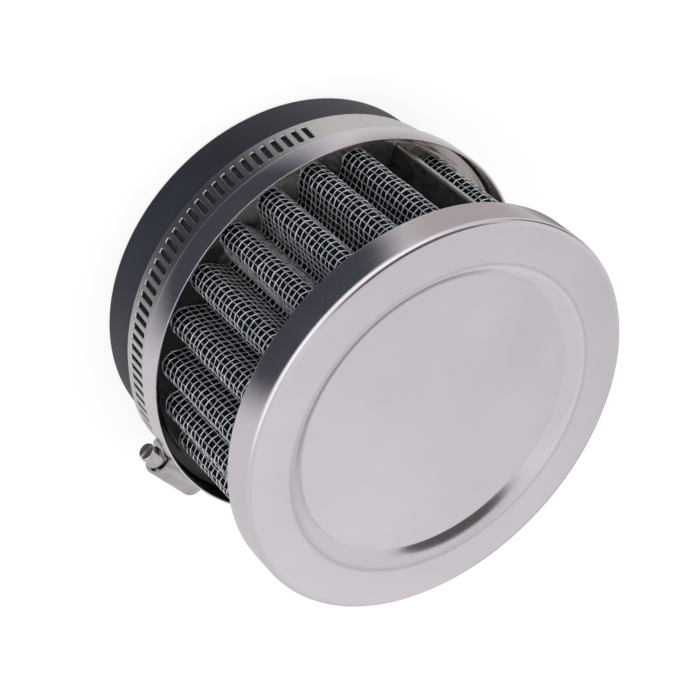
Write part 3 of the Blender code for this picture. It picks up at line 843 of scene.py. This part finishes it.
def run_tree(item, build, values):
    """Build a tree, run it on an object with its values and keep the result as its mesh."""
    tree = build(values)
    modifier = item.modifiers.new(tree.name, "NODES")
    modifier.node_group = tree
    for socket in tree.interface.items_tree:
        if socket.in_out == "INPUT" and socket.name in values:
            modifier[socket.identifier] = values[socket.name]
    return settled(item)


def cloth_tree(run, values):
    """Tree that lays the wires of one direction along a pleat line.

    The ring run follows the line at each height; the upright run stands on it.
    """
    bench = ShapeTree("wire_cloth_" + run, values)
    given = bench.given
    path = bench.out("GeometryNodeMeshToCurve", Mesh=given["Geometry"])
    across = bench.out("GeometryNodeCurveLength", Curve=path)
    count = bench.plus(bench.math("ROUND", bench.math("DIVIDE", across, given["Mesh"])), 1.0)
    levels = bench.math("ROUND", bench.math("DIVIDE", given["Height"], given["Mesh"]))
    level_gap = bench.math("DIVIDE", given["Height"], levels)
    level_count = bench.plus(levels, 1.0)
    even = bench.resampled(path, count)
    outward = bench.vector_math("CROSS_PRODUCT", bench.out("GeometryNodeInputTangent"),
                                in1=(0.0, 0.0, 1.0))
    section = bench.out("GeometryNodeCurvePrimitiveCircle", Resolution=given["Sides"],
                        Radius=given["Wire"])
    joined = bench.add("GeometryNodeJoinGeometry")
    for remainder in (0, 1):
        rise = bench.times(given["Rise"], 1.0 if remainder else -1.0)
        if run == "rings":
            tube = bench.tube(bench.zigzag(even, outward, rise), section)
            points = bench.out("GeometryNodeMeshLine", Count=level_count,
                               Offset=bench.vector(z=level_gap))
            facing = {}
        else:
            post = bench.out("GeometryNodeCurvePrimitiveLine",
                             End=bench.vector(z=given["Height"]))
            post = bench.resampled(post, level_count)
            tube = bench.tube(bench.zigzag(post, (-1.0, 0.0, 0.0), rise), section)
            points = even
            facing = {"Rotation": bench.out("FunctionNodeAlignRotationToVector",
                                            {"axis": "X"}, Vector=outward)}
        chosen = bench.math("COMPARE", bench.odd(), float(remainder))
        laid = bench.out("GeometryNodeInstanceOnPoints", Points=points, Selection=chosen,
                         Instance=tube, **facing)
        bench.tree.links.new(laid, joined.inputs[0])
    real = bench.out("GeometryNodeRealizeInstances", Geometry=joined.outputs[0])
    noise = bench.add("ShaderNodeTexNoise", in0=bench.out("GeometryNodeInputPosition"),
                      Scale=300.0, Detail=1.0)
    centred = bench.vector_math("SUBTRACT", noise.outputs["Color"], in1=(0.5, 0.5, 0.5))
    stray = bench.vector(given["Wander"], given["Wander"], given["Drift"])
    return bench.close(bench.out("GeometryNodeSetPosition", Geometry=real,
                                 Offset=bench.vector_math("MULTIPLY", centred, in1=stray)))


def make_cloth(name, element, offset, run, sides, material, node):
    """One direction of wires of one cloth."""
    data = bmesh.new()
    verts = [data.verts.new((x, y, element.rear_z))
             for x, y in pleat_line(element, offset, *CLOTH_STEPS)]
    for pair in zip(verts, verts[1:]):
        data.edges.new(pair)
    item = placed(name, finished_mesh(name, data))
    run_tree(item, partial(cloth_tree, run), {
        "Height": element.front_z - element.rear_z, "Mesh": element.mesh_size,
        "Wire": element.wire, "Rise": element.weave, "Wander": element.wander,
        "Drift": element.drift, "Sides": sides, "Material": material})
    return dress(item, material, "mesh_wire", FILTER_BODY, node)


# Clamp

# Lengths in metres, angles in degrees, and shares of the size that each is used with
SCREW_PLAY = 0.0004
THREAD_SPARE = 0.3
THREAD_CLEARANCE = 0.0001
HOUSING_EDGE = 0.00014
SCREW_EDGE = 0.00008
SCREW_EDGE_ANGLE = 28.0
HEAD_ROUNDING = 0.0004
HEAD_OVERSIZE = 1.01
HEAD_FLAT = 0.44
TAIL_CORNER = 0.35
SLOT_CORNER = 0.6
SLOT_ZONE = 0.9
PLAIN_STRETCHES = 64
CUTTER_STEPS = 256
STEEL_SHARP = 35.0
SAME_POINT = 1e-7
SAME_TURN = 1e-9
# The triangulation is told to work at this scale, because the flat slots are very small
FLAT_SCALE = 100.0


def flat_cell(name, width, thickness, pitch, hole=(), rim=0.0, flare=(1.0, 1.0)):
    """One stretch of the band laid flat, without its two end walls.

    X is the turn along the band, Y the place across it and Z the thickness. The hole is
    chamfered on the outside: its outline grows by the flare over the last of the thickness.
    """
    half = width / 2
    outer = [(0.0, -half), (pitch, -half), (pitch, half), (0.0, half)]
    hole = [Vector(p) for p in hole]
    edges = [(i, (i + 1) % 4) for i in range(4)]
    edges += [(4 + i, 4 + (i + 1) % len(hole)) for i in range(len(hole))]
    points = [Vector(p) * FLAT_SCALE for p in outer] + [p * FLAT_SCALE for p in hole]
    flat, _, faces = delaunay_2d_cdt(points, edges, [], 2, SAME_POINT)[:3]
    flat = [p / FLAT_SCALE for p in flat]
    inside = [i for i, p in enumerate(flat) if any((p - h).length < SAME_POINT for h in hole)]
    faces = [f for f in faces if not all(i in inside for i in f)]
    data = bmesh.new()
    low = [data.verts.new((p.x, p.y, 0.0)) for p in flat]
    high = [data.verts.new((p.x, p.y, thickness)) for p in flat]
    middle = sum(hole, Vector((0.0, 0.0))) / max(len(hole), 1)
    waist = {}
    for i in inside:
        waist[low[i]] = data.verts.new((*flat[i], thickness - rim))
        away = flat[i] - middle
        high[i].co.xy = middle.x + away.x * flare[0], middle.y + away.y * flare[1]
    for face in faces:
        data.faces.new([high[i] for i in face])
        data.faces.new([low[i] for i in reversed(face)])
    for edge in [e for e in data.edges if e.is_boundary]:
        a, b = edge.verts
        end_wall = abs(a.co.x - b.co.x) < SAME_TURN and not hole_edge(a, b, half)
        if a.co.z > thickness / 2 or end_wall:
            continue
        pair = [high[low.index(b)], high[low.index(a)]]
        if a in waist and b in waist:
            data.faces.new((a, b, waist[b], waist[a]))
            a, b = waist[a], waist[b]
        data.faces.new((a, b, *pair))
    return placed(name, stored(data, bpy.data.meshes.new(name)))


def hole_edge(a, b, half):
    """True where an edge lies inside the band's width, on the wall of a slot."""
    return max(abs(a.co.y), abs(b.co.y)) < half * SLOT_ZONE


def slot_outline(clamp):
    """Slanted slot with round corners, as turns along the band and places across it."""
    half_width = clamp.slot_width * clamp.band_radius / 2
    radius = half_width * SLOT_CORNER
    slot_length = clamp.band_width - 2 * clamp.slot_margin
    side, straight = half_width - radius, slot_length / 2 - radius
    slant = clamp.slot_slant / slot_length
    outline = []
    for corner, (x_side, y_side) in enumerate(((1, 1), (-1, 1), (-1, -1), (1, -1))):
        outline += arc_points((x_side * side, y_side * straight), radius, corner * 90,
                              corner * 90 + 90, 3)
    return [(clamp.slot_pitch / 2 + x / clamp.band_radius + slant * y, y) for x, y in outline]


def band_tree(values):
    """Tree that lines up the band's plain and slotted stretches and winds them round."""
    bench = ShapeTree("clamp_band", values)
    given = bench.given
    joined = bench.add("GeometryNodeJoinGeometry", Geometry=given["Geometry"])
    for cell, count, start, pitch in (
            ("Plain Stretch", "Plain Count", "Plain Start", "Plain Pitch"),
            ("Slotted Stretch", "Slot Count", "Slots Start", "Slot Pitch")):
        shape = bench.add("GeometryNodeObjectInfo", Object=given[cell]).outputs["Geometry"]
        posts = bench.out("GeometryNodeMeshLine", Count=given[count],
                          Start_Location=bench.vector(given[start]),
                          Offset=bench.vector(given[pitch]))
        laid = bench.out("GeometryNodeInstanceOnPoints", Points=posts, Instance=shape)
        bench.tree.links.new(laid, joined.inputs[0])
    real = bench.out("GeometryNodeRealizeInstances", Geometry=joined.outputs[0])
    whole = bench.out("GeometryNodeMergeByDistance", Geometry=real, Distance=0.00002)
    turn, across, depth = bench.split(bench.out("GeometryNodeInputPosition"))
    climb = bench.span(turn, given["Rise Start"], given["Rise End"], 0.0, given["Rise"],
                       "SMOOTHSTEP")
    radius = bench.plus(bench.plus(given["Radius"], climb), depth)
    wound = bench.vector(bench.times(radius, bench.math("COSINE", turn)),
                         bench.times(radius, bench.math("SINE", turn)),
                         bench.plus(across, given["Height"]))
    return bench.close(bench.out("GeometryNodeSetPosition", Geometry=whole, Position=wound))


def make_band(clamp, material):
    """Slotted band wound once round the neck, its tail over its fixed end."""
    width, sheet, radius = clamp.band_width, clamp.band_sheet, clamp.band_radius
    half, rim = width / 2, clamp.slot_rim
    start = atan2(clamp.housing_length / 2 + clamp.gap, radius)
    beside_slot = (clamp.slot_pitch - clamp.slot_width) / 2
    slots_from = clamp.slots_start - beside_slot
    plain_pitch = (slots_from - start) / PLAIN_STRETCHES
    plain = flat_cell("plain_stretch", width, sheet, plain_pitch)
    flare = (1 + 2 * rim / (clamp.slot_width * radius),
             1 + 2 * rim / (width - 2 * clamp.slot_margin))
    slotted = flat_cell("slotted_stretch", width, sheet, clamp.slot_pitch,
                        slot_outline(clamp), rim, flare)
    tail = slots_from + clamp.slots * clamp.slot_pitch
    tail_end = tail - beside_slot + clamp.tail_end
    corner = half * TAIL_CORNER
    rounded = (arc_points((-corner, half - corner), corner, 90, 0, 6)
               + arc_points((-corner, corner - half), corner, 0, -90, 6))
    tip = [(tail, half), *((tail_end + x / radius, y) for x, y in rounded), (tail, -half)]
    data = bmesh.new()
    low, high = ([data.verts.new((x, y, z)) for x, y in tip] for z in (0.0, sheet))
    data.faces.new(high)
    data.faces.new(low[::-1])
    for i in range(len(tip) - 1):
        data.faces.new((low[i], low[i + 1], high[i + 1], high[i]))
    data.faces.new([data.verts.new((start, y, z)) for y, z in (
        (-half, 0.0), (half, 0.0), (half, sheet), (-half, sheet))])
    band = placed("band_of_clamp", stored(data, bpy.data.meshes.new("band_of_clamp")))
    run_tree(band, band_tree, {
        "Plain Stretch": plain, "Slotted Stretch": slotted, "Plain Count": PLAIN_STRETCHES,
        "Slot Count": clamp.slots, "Plain Start": start, "Plain Pitch": plain_pitch,
        "Slots Start": slots_from, "Slot Pitch": clamp.slot_pitch, "Radius": radius,
        "Rise": sheet + clamp.gap, "Rise Start": clamp.rise_start,
        "Rise End": clamp.rise_end, "Height": clamp.band_z, "Material": material})
    for helper in (plain, slotted):
        bpy.data.objects.remove(helper, do_unlink=True)
    data = bmesh.new()
    data.from_mesh(band.data)
    bmesh.ops.recalc_face_normals(data, faces=data.faces)
    stored(data, band.data).set_sharp_from_angle(angle=radians(STEEL_SHARP))
    return dress(band, material, "clamp_steel", FILTER_BODY, "clamp_band")


def screw_frame(clamp):
    """Matrix that lays a shape's Z along the screw, its head towards -Y."""
    return Matrix.Translation((clamp.screw_x, 0.0, clamp.band_z)) @ Matrix.Rotation(pi / 2, 4, "X")


def make_housing(clamp, material):
    """Worm housing: a barrel over the screw on two sides and a curved floor."""
    gap, wall = clamp.gap, clamp.housing_wall
    tunnel = clamp.thread + gap
    band_out = clamp.band_radius + clamp.band_sheet
    tail_out = band_out + gap + clamp.band_sheet
    shoulder = tail_out + gap + wall - clamp.screw_x
    side = clamp.band_width / 2 + gap + clamp.housing_side
    reach = clamp.housing_length / 2
    foot = clamp.band_radius * cos(atan2(reach, clamp.band_radius)) - wall - clamp.screw_x
    rise = degrees(acos(shoulder / (tunnel + wall)))
    crown = arc_points((0.0, 0.0), tunnel + wall, -rise, rise, 40)
    left = rounded_path([(foot, -side), (shoulder, -side), crown[0]], [0, wall, 0])
    right = [(x, -y) for x, y in reversed(left)]
    lay = screw_frame(clamp)
    housing = prism("housing_of_clamp", left[:-1] + crown + right[1:], -reach, reach, lay)
    wide, tall = clamp.band_width, clamp.band_z
    cut(housing, turned("floor_cutter", [(0.0, tall - wide), (clamp.band_radius, tall - wide),
                                         (clamp.band_radius, tall + wide), (0.0, tall + wide)],
                        CUTTER_STEPS, closed=False))
    low, high = tall - wide / 2 - gap, tall + wide / 2 + gap
    cut(housing, turned("passage_cutter", [(band_out, low), (tail_out + gap, low),
                                           (tail_out + gap, high), (band_out, high)],
                        CUTTER_STEPS))
    cut(housing, prism("tunnel_cutter", arc_points((0.0, 0.0), tunnel, 0, 354, 59),
                       -reach * 2, reach * 2, lay))
    soften(housing, HOUSING_EDGE)
    return dress(housing, material, "clamp_steel", FILTER_BODY, "clamp_housing")


def make_screw(clamp, material):
    """Screw with its core, collar and slotted hexagon head."""
    reach = clamp.housing_length / 2
    low = reach + SCREW_PLAY
    high = low + clamp.collar_length
    top = high + clamp.head_length
    end = -reach - clamp.pilot_length
    lay = screw_frame(clamp)
    screw = turned("screw_of_clamp", [
        (0.0, high), (clamp.collar, high), (clamp.collar, low), (clamp.core, low),
        (clamp.core, -reach), (clamp.pilot, -reach), (clamp.pilot, end), (0.0, end)],
        48, closed=False)
    screw.data.transform(lay)
    corner = clamp.head_flats / sqrt(3)
    root = low + clamp.collar_length / 2
    over, below = corner * HEAD_OVERSIZE, root - 0.0001
    head = prism("head_form", arc_points((0.0, 0.0), corner, 0, 300, 5), root, top, lay)
    round_off = turned("head_rounding", [
        (0.0, below), (over, below), (over, top - HEAD_ROUNDING),
        (clamp.head_flats * HEAD_FLAT, top), (0.0, top)], 64, closed=False)
    round_off.data.transform(lay)
    cut(head, round_off, "INTERSECT")
    half = clamp.driver_width / 2
    cut(head, prism("driver_cutter", [(-corner * 2, -half), (corner * 2, -half),
                                      (corner * 2, half), (-corner * 2, half)],
                    top - clamp.driver_depth, top + 0.002, lay))
    cut(screw, head, "UNION")
    soften(screw, SCREW_EDGE, SCREW_EDGE_ANGLE)
    return dress(screw, material, "clamp_steel", SCREW_BODY, "clamp_screw")


def thread_tree(values):
    """Tree that winds a worm thread whose crest keeps clear of the band below it."""
    bench = ShapeTree("worm_thread", values)
    given = bench.given
    coil_length = bench.times(given["Turns"], given["Pitch"])
    coil = bench.out("GeometryNodeCurveSpiral", Resolution=24, Rotations=given["Turns"],
                     Start_Radius=given["Core"], End_Radius=given["Core"], Height=coil_length)
    coil = bench.out("GeometryNodeSetCurveNormal", {"mode": "Z_UP"}, Curve=coil)
    section = bench.out("GeometryNodeCurvePrimitiveQuadrilateral", {"mode": "TRAPEZOID"},
                        Height=0.00125, Bottom_Width=0.0011, Top_Width=0.0004)
    centred = bench.out("GeometryNodeSetPosition", Geometry=bench.tube(coil, section),
                        Offset=bench.vector(z=bench.times(coil_length, -0.5)))
    x, y, z = bench.split(bench.out("GeometryNodeInputPosition"))

    def square(value):
        return bench.math("POWER", value, 2.0)

    radius = bench.math("SQRT", bench.plus(square(x), square(y)))
    level = bench.math("SQRT", bench.minus(square(given["Band Outside"]), square(z)))
    clear = bench.minus(bench.minus(given["Axis Distance"], level), THREAD_CLEARANCE)
    crest = bench.math("MINIMUM", given["Crest"], clear)
    share = bench.math("DIVIDE", bench.math("MINIMUM", radius, crest), radius)
    squeezed = bench.vector(bench.times(x, share), bench.times(y, share), z)
    return bench.close(bench.out("GeometryNodeSetPosition", Geometry=centred,
                                 Position=squeezed))


def make_thread(clamp, material):
    """Worm thread along the screw's core."""
    thread = placed("thread_of_screw", bpy.data.meshes.new("thread_of_screw"))
    tail_out = clamp.band_radius + clamp.band_sheet * 2 + clamp.gap
    pitch = clamp.slot_pitch * tail_out
    run_tree(thread, thread_tree, {
        "Turns": clamp.housing_length / pitch - THREAD_SPARE, "Pitch": pitch,
        "Core": clamp.core, "Crest": clamp.thread, "Axis Distance": clamp.screw_x,
        "Band Outside": tail_out, "Material": material})
    thread.data.transform(screw_frame(clamp))
    thread.data.set_sharp_from_angle(angle=radians(STEEL_SHARP))
    return dress(thread, material, "clamp_steel", SCREW_BODY)


# Caps and neck

RECESS_STEPS = 10
SEAT_GAP = 0.0003
PRESSED_EDGE = 0.00012
CUT_EDGE = 0.00010


def make_front_cap(caps, material):
    """Pressed front cap with its recessed disc, flat rim, skirt and turned lip."""
    half = caps.sheet / 2
    floor_z = caps.front_z - caps.recess_depth
    slope = []
    for step in range(RECESS_STEPS, -1, -1):
        share = step / RECESS_STEPS
        drop = share * (caps.recess_start + (1 - caps.recess_start) * share)
        slope.append((caps.recess_rim + (caps.recess_floor - caps.recess_rim) * share,
                      caps.front_z - caps.recess_depth * drop))
    face = [(0.0, floor_z), *slope, (caps.radius, caps.front_z)]
    skirt = caps.radius - half
    lip_z = caps.front_lip_z + half
    plate = offset_path(face, -half)[:-1]
    middle = plate + [(skirt, caps.front_z - half), (skirt, lip_z),
                      (skirt - caps.lip_width, lip_z)]
    profile = sheet_profile(middle, [0] * len(plate) + [caps.bend, caps.lip_bend, 0],
                            caps.sheet, PRESSED_EDGE)
    profile[0] = (0.0, profile[0][1])
    profile[-1] = (0.0, profile[-1][1])
    cap = turned("cap_front", profile, caps.steps, closed=False)
    return dress(cap, material, "polished_cap", FILTER_BODY, "front_cap")


def make_rear_cap(caps, material):
    """Pressed rear cap with a plain skirt edge and a hole for the neck."""
    half = caps.sheet / 2
    middle = [(caps.hole, caps.rear_z + half), (caps.radius - half, caps.rear_z + half),
              (caps.radius - half, caps.rear_lip_z)]
    profile = sheet_profile(middle, [0, caps.bend, 0], caps.sheet, CUT_EDGE)
    cap = turned("cap_rear", profile, caps.steps)
    return dress(cap, material, "polished_cap", FILTER_BODY, "rear_cap")


def make_neck(neck, caps, material):
    """Rubber neck with its stop, groove and lip."""
    bore = neck.radius - neck.wall
    groove = caps.hole - SEAT_GAP
    stop_z = neck.length - neck.flange
    lip_z = caps.rear_z + caps.sheet + SEAT_GAP
    top = lip_z + neck.lip
    # Radius, height and rounding of each corner
    corners = [
        (neck.radius, 0.0, neck.mouth_round), (neck.radius, neck.length, 0.0003),
        (groove, neck.length, 0.0), (groove, lip_z, 0.0), (neck.lip_radius, lip_z, 0.0002),
        (neck.lip_radius, top, 0.0005), (neck.throat, top, 0.0006), (neck.throat, stop_z, 0.0006),
        (bore, stop_z, 0.0008), (bore, neck.mouth_chamfer, 0.0004),
        (bore + neck.mouth_chamfer, 0.0, 0.0003),
    ]
    profile = rounded_path([c[:2] for c in corners], [c[2] for c in corners], closed=True)
    item = turned("neck_of_rubber", profile, neck.steps)
    return dress(item, material, "neck_rubber", FILTER_BODY, "rubber_neck")


# Studio

STUDIO_MIDDLE = (0.0, 0.0, 0.032)
FLOOR_LEVEL = -0.0002

# Name, centre, half size, tone and density of each card, then the share of its size up to
# which it is solid, the point that it faces and its roll in degrees
CARDS = (
    ("dark_floor_card", (0.0, -0.111, 0.0), (0.101, 0.091), (0.052, 0.056, 0.069), 1.0),
    ("warm_floor_card", (-0.112, -0.024, 0.0005), (0.060, 0.075), (0.43, 0.40, 0.38), 1.0),
    ("back_floor_card", (0.0, 0.22, 0.0), (0.18, 0.13), (0.10, 0.10, 0.11), 0.8),
    ("back_card", (0.04, 0.60, 0.07), (0.13, 0.20), (0.22, 0.22, 0.23), 1.0, 0.5, STUDIO_MIDDLE),
    ("camera_card", (-0.266, -0.118, 0.461), (0.36, 0.21), (0.085, 0.078, 0.082), 1.0, 0.7,
     (0.0, 0.025, 0.062), -24.7),
    ("side_card", (-0.275, 0.098, 0.069), (0.165, 0.045), (0.04, 0.037, 0.037), 1.0, 0.6,
     (-0.045, 0.0, 0.06), -24.0),
    ("near_floor_card", (-0.066, 0.054, 0.0008), (0.036, 0.030), (0.17, 0.155, 0.145), 0.85, 0.4),
)


def studio_world(settings):
    """Room light: white to the camera, softly graded to metal, plain to everything else."""
    world = bpy.data.worlds.new("studio_room")
    bpy.context.scene.world = world
    world.use_nodes = True
    bench = NodeBench(world.node_tree)
    path = bench.add("ShaderNodeLightPath").outputs
    direction = bench.add("ShaderNodeTexCoord").outputs["Generated"]
    across, depth, height = bench.split(direction)
    low_light = bench.times(bench.span(depth, -0.25, -0.6, 0.0, 1.0, "SMOOTHSTEP"),
                            bench.span(height, 0.45, 0.62, 0.5, 0.0, "SMOOTHSTEP"))
    aside = bench.minus(across, 0.03)
    tilt = bench.times(bench.span(aside, -0.13, 0.13, -0.07, 0.07),
                       bench.span(bench.math("ABSOLUTE", aside), 0.15, 0.4, 1.0, 0.0,
                                  "SMOOTHSTEP"))
    level = bench.plus(bench.plus(low_light, tilt), 0.667)
    room = bench.vector(level, bench.times(level, 0.985), bench.times(level, 0.995))
    seen = bench.blend(path["Is Glossy Ray"], with_alpha([settings.room] * 3), room)
    bench.fill(world.node_tree.nodes["Background"],
               Color=bench.blend(path["Is Camera Ray"], seen, WHITE))


def flat_square(name, half, height=0.0):
    """A square that faces up."""
    data = bmesh.new()
    data.faces.new([data.verts.new((x * half, y * half, height))
                    for x, y in ((-1, -1), (1, -1), (1, 1), (-1, 1))])
    return placed(name, finished_mesh(name, data))


def studio_floor():
    """White floor that keeps the filter's soft shadow."""
    floor = flat_square("studio_floor", 3.0, FLOOR_LEVEL)
    bench = Finish("floor_paper")
    path = bench.add("ShaderNodeLightPath").outputs
    glow = bench.out("ShaderNodeEmission", Color=WHITE, Strength=0.78)
    paper = bench.out("ShaderNodeBsdfDiffuse", Color=(0.34, 0.34, 0.34, 1.0))
    seen = bench.out("ShaderNodeAddShader", in0=glow, in1=paper)
    plain = bench.out("ShaderNodeBsdfDiffuse", Color=(0.8, 0.8, 0.8, 1.0))
    mirrored = bench.out("ShaderNodeEmission", Color=(0.86, 0.84, 0.85, 1.0), Strength=0.75)
    by_metal = bench.mix(path["Is Glossy Ray"], plain, mirrored)
    floor.data.materials.append(bench.show(bench.mix(path["Is Camera Ray"], by_metal, seen)))


def studio_card(name, centre, size, tone, density, solid=0.6, towards=None, roll=0.0):
    """Card that only polished metal shows, solid up to a share of its size and then soft."""
    card = flat_square(name, 1)
    card.location = centre
    card.scale = (*size, 1.0)
    if towards:
        facing = (Vector(towards) - Vector(centre)).to_track_quat("Z", "Y").to_matrix()
        card.rotation_euler = (facing @ Matrix.Rotation(radians(roll), 3, "Z")).to_euler()
    bench = Finish(name)
    share = bench.span(bench.reach(bench.place()), solid, 1.0, density, 0.0, "SMOOTHSTEP")
    dark = bench.out("ShaderNodeEmission", Color=(*tone, 1.0), Strength=1.0)
    clear = bench.out("ShaderNodeBsdfTransparent")
    card.data.materials.append(bench.show(bench.mix(share, clear, dark)))
    card.visible_camera = card.visible_diffuse = card.visible_shadow = False


def studio_lamp(name, place, size, power):
    """Large soft square lamp that points at the filter."""
    lamp = bpy.data.lights.new(name, "AREA")
    lamp.shape = "RECTANGLE"
    lamp.size = lamp.size_y = size
    lamp.energy = power
    item = placed(name, lamp)
    item.location = place
    ahead = Vector(STUDIO_MIDDLE) - Vector(place)
    item.rotation_euler = ahead.to_track_quat("-Z", "Y").to_euler()
    item.visible_glossy = False


def studio_camera(settings):
    """Camera with the place, the turn and the lens of the settings."""
    camera = bpy.data.cameras.new("photo_camera")
    camera.sensor_width = 36.0
    camera.lens = settings.lens
    camera.clip_start, camera.clip_end = 0.01, 20.0
    item = placed("photo_camera", camera)
    item.location = settings.camera_place
    item.rotation_euler = settings.camera_turn
    bpy.context.scene.camera = item


# Operators

# Ring wires keep the full wire colour; upright wires are darkened to 0.76 of it as painted shade
WIRE_SHADE_LEVELS = (("rings", 1.0), ("uprights", 0.76))
HEAD_RIM = 0.00012


class FilterOperator:
    """What every operator of the filter shares."""

    bl_options = {"REGISTER", "UNDO"}


class FILTER_OT_caps(FilterOperator, Operator):
    """Turn the front and rear caps from their pressed profiles"""

    bl_idname = "pod_filter.caps"
    bl_label = "End Caps"

    def execute(self, context):
        caps = context.scene.filter_caps
        plate = context.scene.filter_colours.plate
        make_front_cap(caps, plate_finish("polished_plate", plate, roughness=0.2, lines=0.10,
                                          crease=caps.recess_rim))
        make_rear_cap(caps, plate_finish("smeared_plate", plate, roughness=0.2, lines=0.10,
                                         inside=(caps.radius - caps.sheet / 2,
                                                 caps.rear_z + caps.sheet / 2)))
        return {"FINISHED"}


class FILTER_OT_neck(FilterOperator, Operator):
    """Mould the rubber neck"""

    bl_idname = "pod_filter.neck"
    bl_label = "Rubber Neck"

    def execute(self, context):
        scene = context.scene
        make_neck(scene.filter_neck, scene.filter_caps,
                  rubber_finish("moulded_rubber", scene.filter_colours.rubber))
        return {"FINISHED"}


class FILTER_OT_gauze(FilterOperator, Operator):
    """Fold the gauze into pleats and repaint the resin beads"""

    bl_idname = "pod_filter.gauze"
    bl_label = "Pleated Gauze"

    def execute(self, context):
        scene = context.scene
        make_gauze(scene.filter_element, gauze_finish("cotton_gauze", scene.filter_colours.gauze))
        resin = resin_finish("cured_resin", scene.filter_colours.resin)
        repaint("front_adhesive", resin)
        repaint("rear_adhesive", resin)
        return {"FINISHED"}


class FILTER_OT_cloth(FilterOperator, Operator):
    """Weave the wire cloth over both faces of the gauze"""

    bl_idname = "pod_filter.cloth"
    bl_label = "Wire Cloth"

    def execute(self, context):
        element = context.scene.filter_element
        bright = context.scene.filter_colours.wire
        outside = element.half - element.weave - element.wire
        # Each run gets its own material; the darker uprights are painted shade
        for run, level in WIRE_SHADE_LEVELS:
            wire = wire_finish("drawn_wire_" + run, [level * c for c in bright])
            make_cloth("outer_cloth_" + run, element, outside, run, element.sides, wire,
                       "outer_wire_mesh")
            make_cloth("inner_cloth_" + run, element, -outside, run, HIDDEN_SIDES, wire,
                       "inner_wire_mesh")
        return {"FINISHED"}


class FILTER_OT_clip(FilterOperator, Operator):
    """Repaint the seam clip"""

    bl_idname = "pod_filter.clip"
    bl_label = "Seam Clip"

    def execute(self, context):
        scene = context.scene
        repaint("seam_clip", clip_finish("folded_strip", scene.filter_colours.clip,
                                         scene.filter_element.outer_radius))
        return {"FINISHED"}


class FILTER_OT_clamp(FilterOperator, Operator):
    """Wind the slotted band and build the worm housing and its screw"""

    bl_idname = "pod_filter.clamp"
    bl_label = "Hose Clamp"

    def execute(self, context):
        clamp = context.scene.filter_clamp
        colours = context.scene.filter_colours
        place = (clamp.screw_x, 0.0, clamp.band_z)
        make_band(clamp, plate_finish("band_steel", colours.steel, roughness=0.24, lines=0.12))
        make_housing(clamp, steel_finish("pressed_steel", colours.pressed, place,
                                         roughness=0.2))
        head_end = (clamp.housing_length / 2 + SCREW_PLAY + clamp.collar_length
                    + clamp.head_length)
        screw = steel_finish("screw_steel", colours.steel, place, roughness=0.24,
                             dark_end=head_end - HEAD_RIM)
        make_screw(clamp, screw)
        make_thread(clamp, screw)
        return {"FINISHED"}


class FILTER_OT_studio(FilterOperator, Operator):
    """Set up the floor, the cards, the lamps and the camera"""

    bl_idname = "pod_filter.studio"
    bl_label = "Studio"

    def execute(self, context):
        settings = context.scene.filter_studio
        context.scene.view_settings.view_transform = "Standard"
        studio_world(settings)
        studio_floor()
        for card in CARDS:
            studio_card(*card)
        studio_lamp("key_lamp", (0.273, -0.429, 0.585), 0.39, settings.key)
        studio_lamp("fill_lamp", (-0.468, 0.156, 0.468), 0.546, settings.fill)
        studio_camera(settings)
        return {"FINISHED"}


OPERATORS = (FILTER_OT_caps, FILTER_OT_neck, FILTER_OT_gauze, FILTER_OT_cloth, FILTER_OT_clip,
             FILTER_OT_clamp, FILTER_OT_studio)


class FILTER_PT_panel(Panel):
    """Lists the steps that build the filter."""

    bl_idname = "FILTER_PT_panel"
    bl_label = "Air Filter"
    bl_space_type = "VIEW_3D"
    bl_region_type = "UI"
    bl_category = "Air Filter"

    def draw(self, context):
        column = self.layout.column(align=True)
        for operator in OPERATORS:
            column.operator(operator.bl_idname)
        for name in SETTINGS:
            group = getattr(context.scene, name)
            box = self.layout.box()
            for key in group.bl_rna.properties.keys():
                if key not in ("rna_type", "name"):
                    box.prop(group, key)


CLASSES = (*SETTINGS.values(), *OPERATORS, FILTER_PT_panel)


def register():
    """Register the classes and hang the settings on the scene."""
    for item in CLASSES:
        bpy.utils.register_class(item)
    for name, group in SETTINGS.items():
        setattr(bpy.types.Scene, name, PointerProperty(type=group))


def unregister():
    """Undo register()."""
    for name in SETTINGS:
        delattr(bpy.types.Scene, name)
    for item in reversed(CLASSES):
        bpy.utils.unregister_class(item)


def main():
    """Build everything in order."""
    register()
    bpy.ops.pod_filter.caps()
    bpy.ops.pod_filter.neck()
    bpy.ops.pod_filter.gauze()
    bpy.ops.pod_filter.cloth()
    bpy.ops.pod_filter.clip()
    bpy.ops.pod_filter.clamp()
    bpy.ops.pod_filter.studio()


if __name__ == "__main__":
    main()
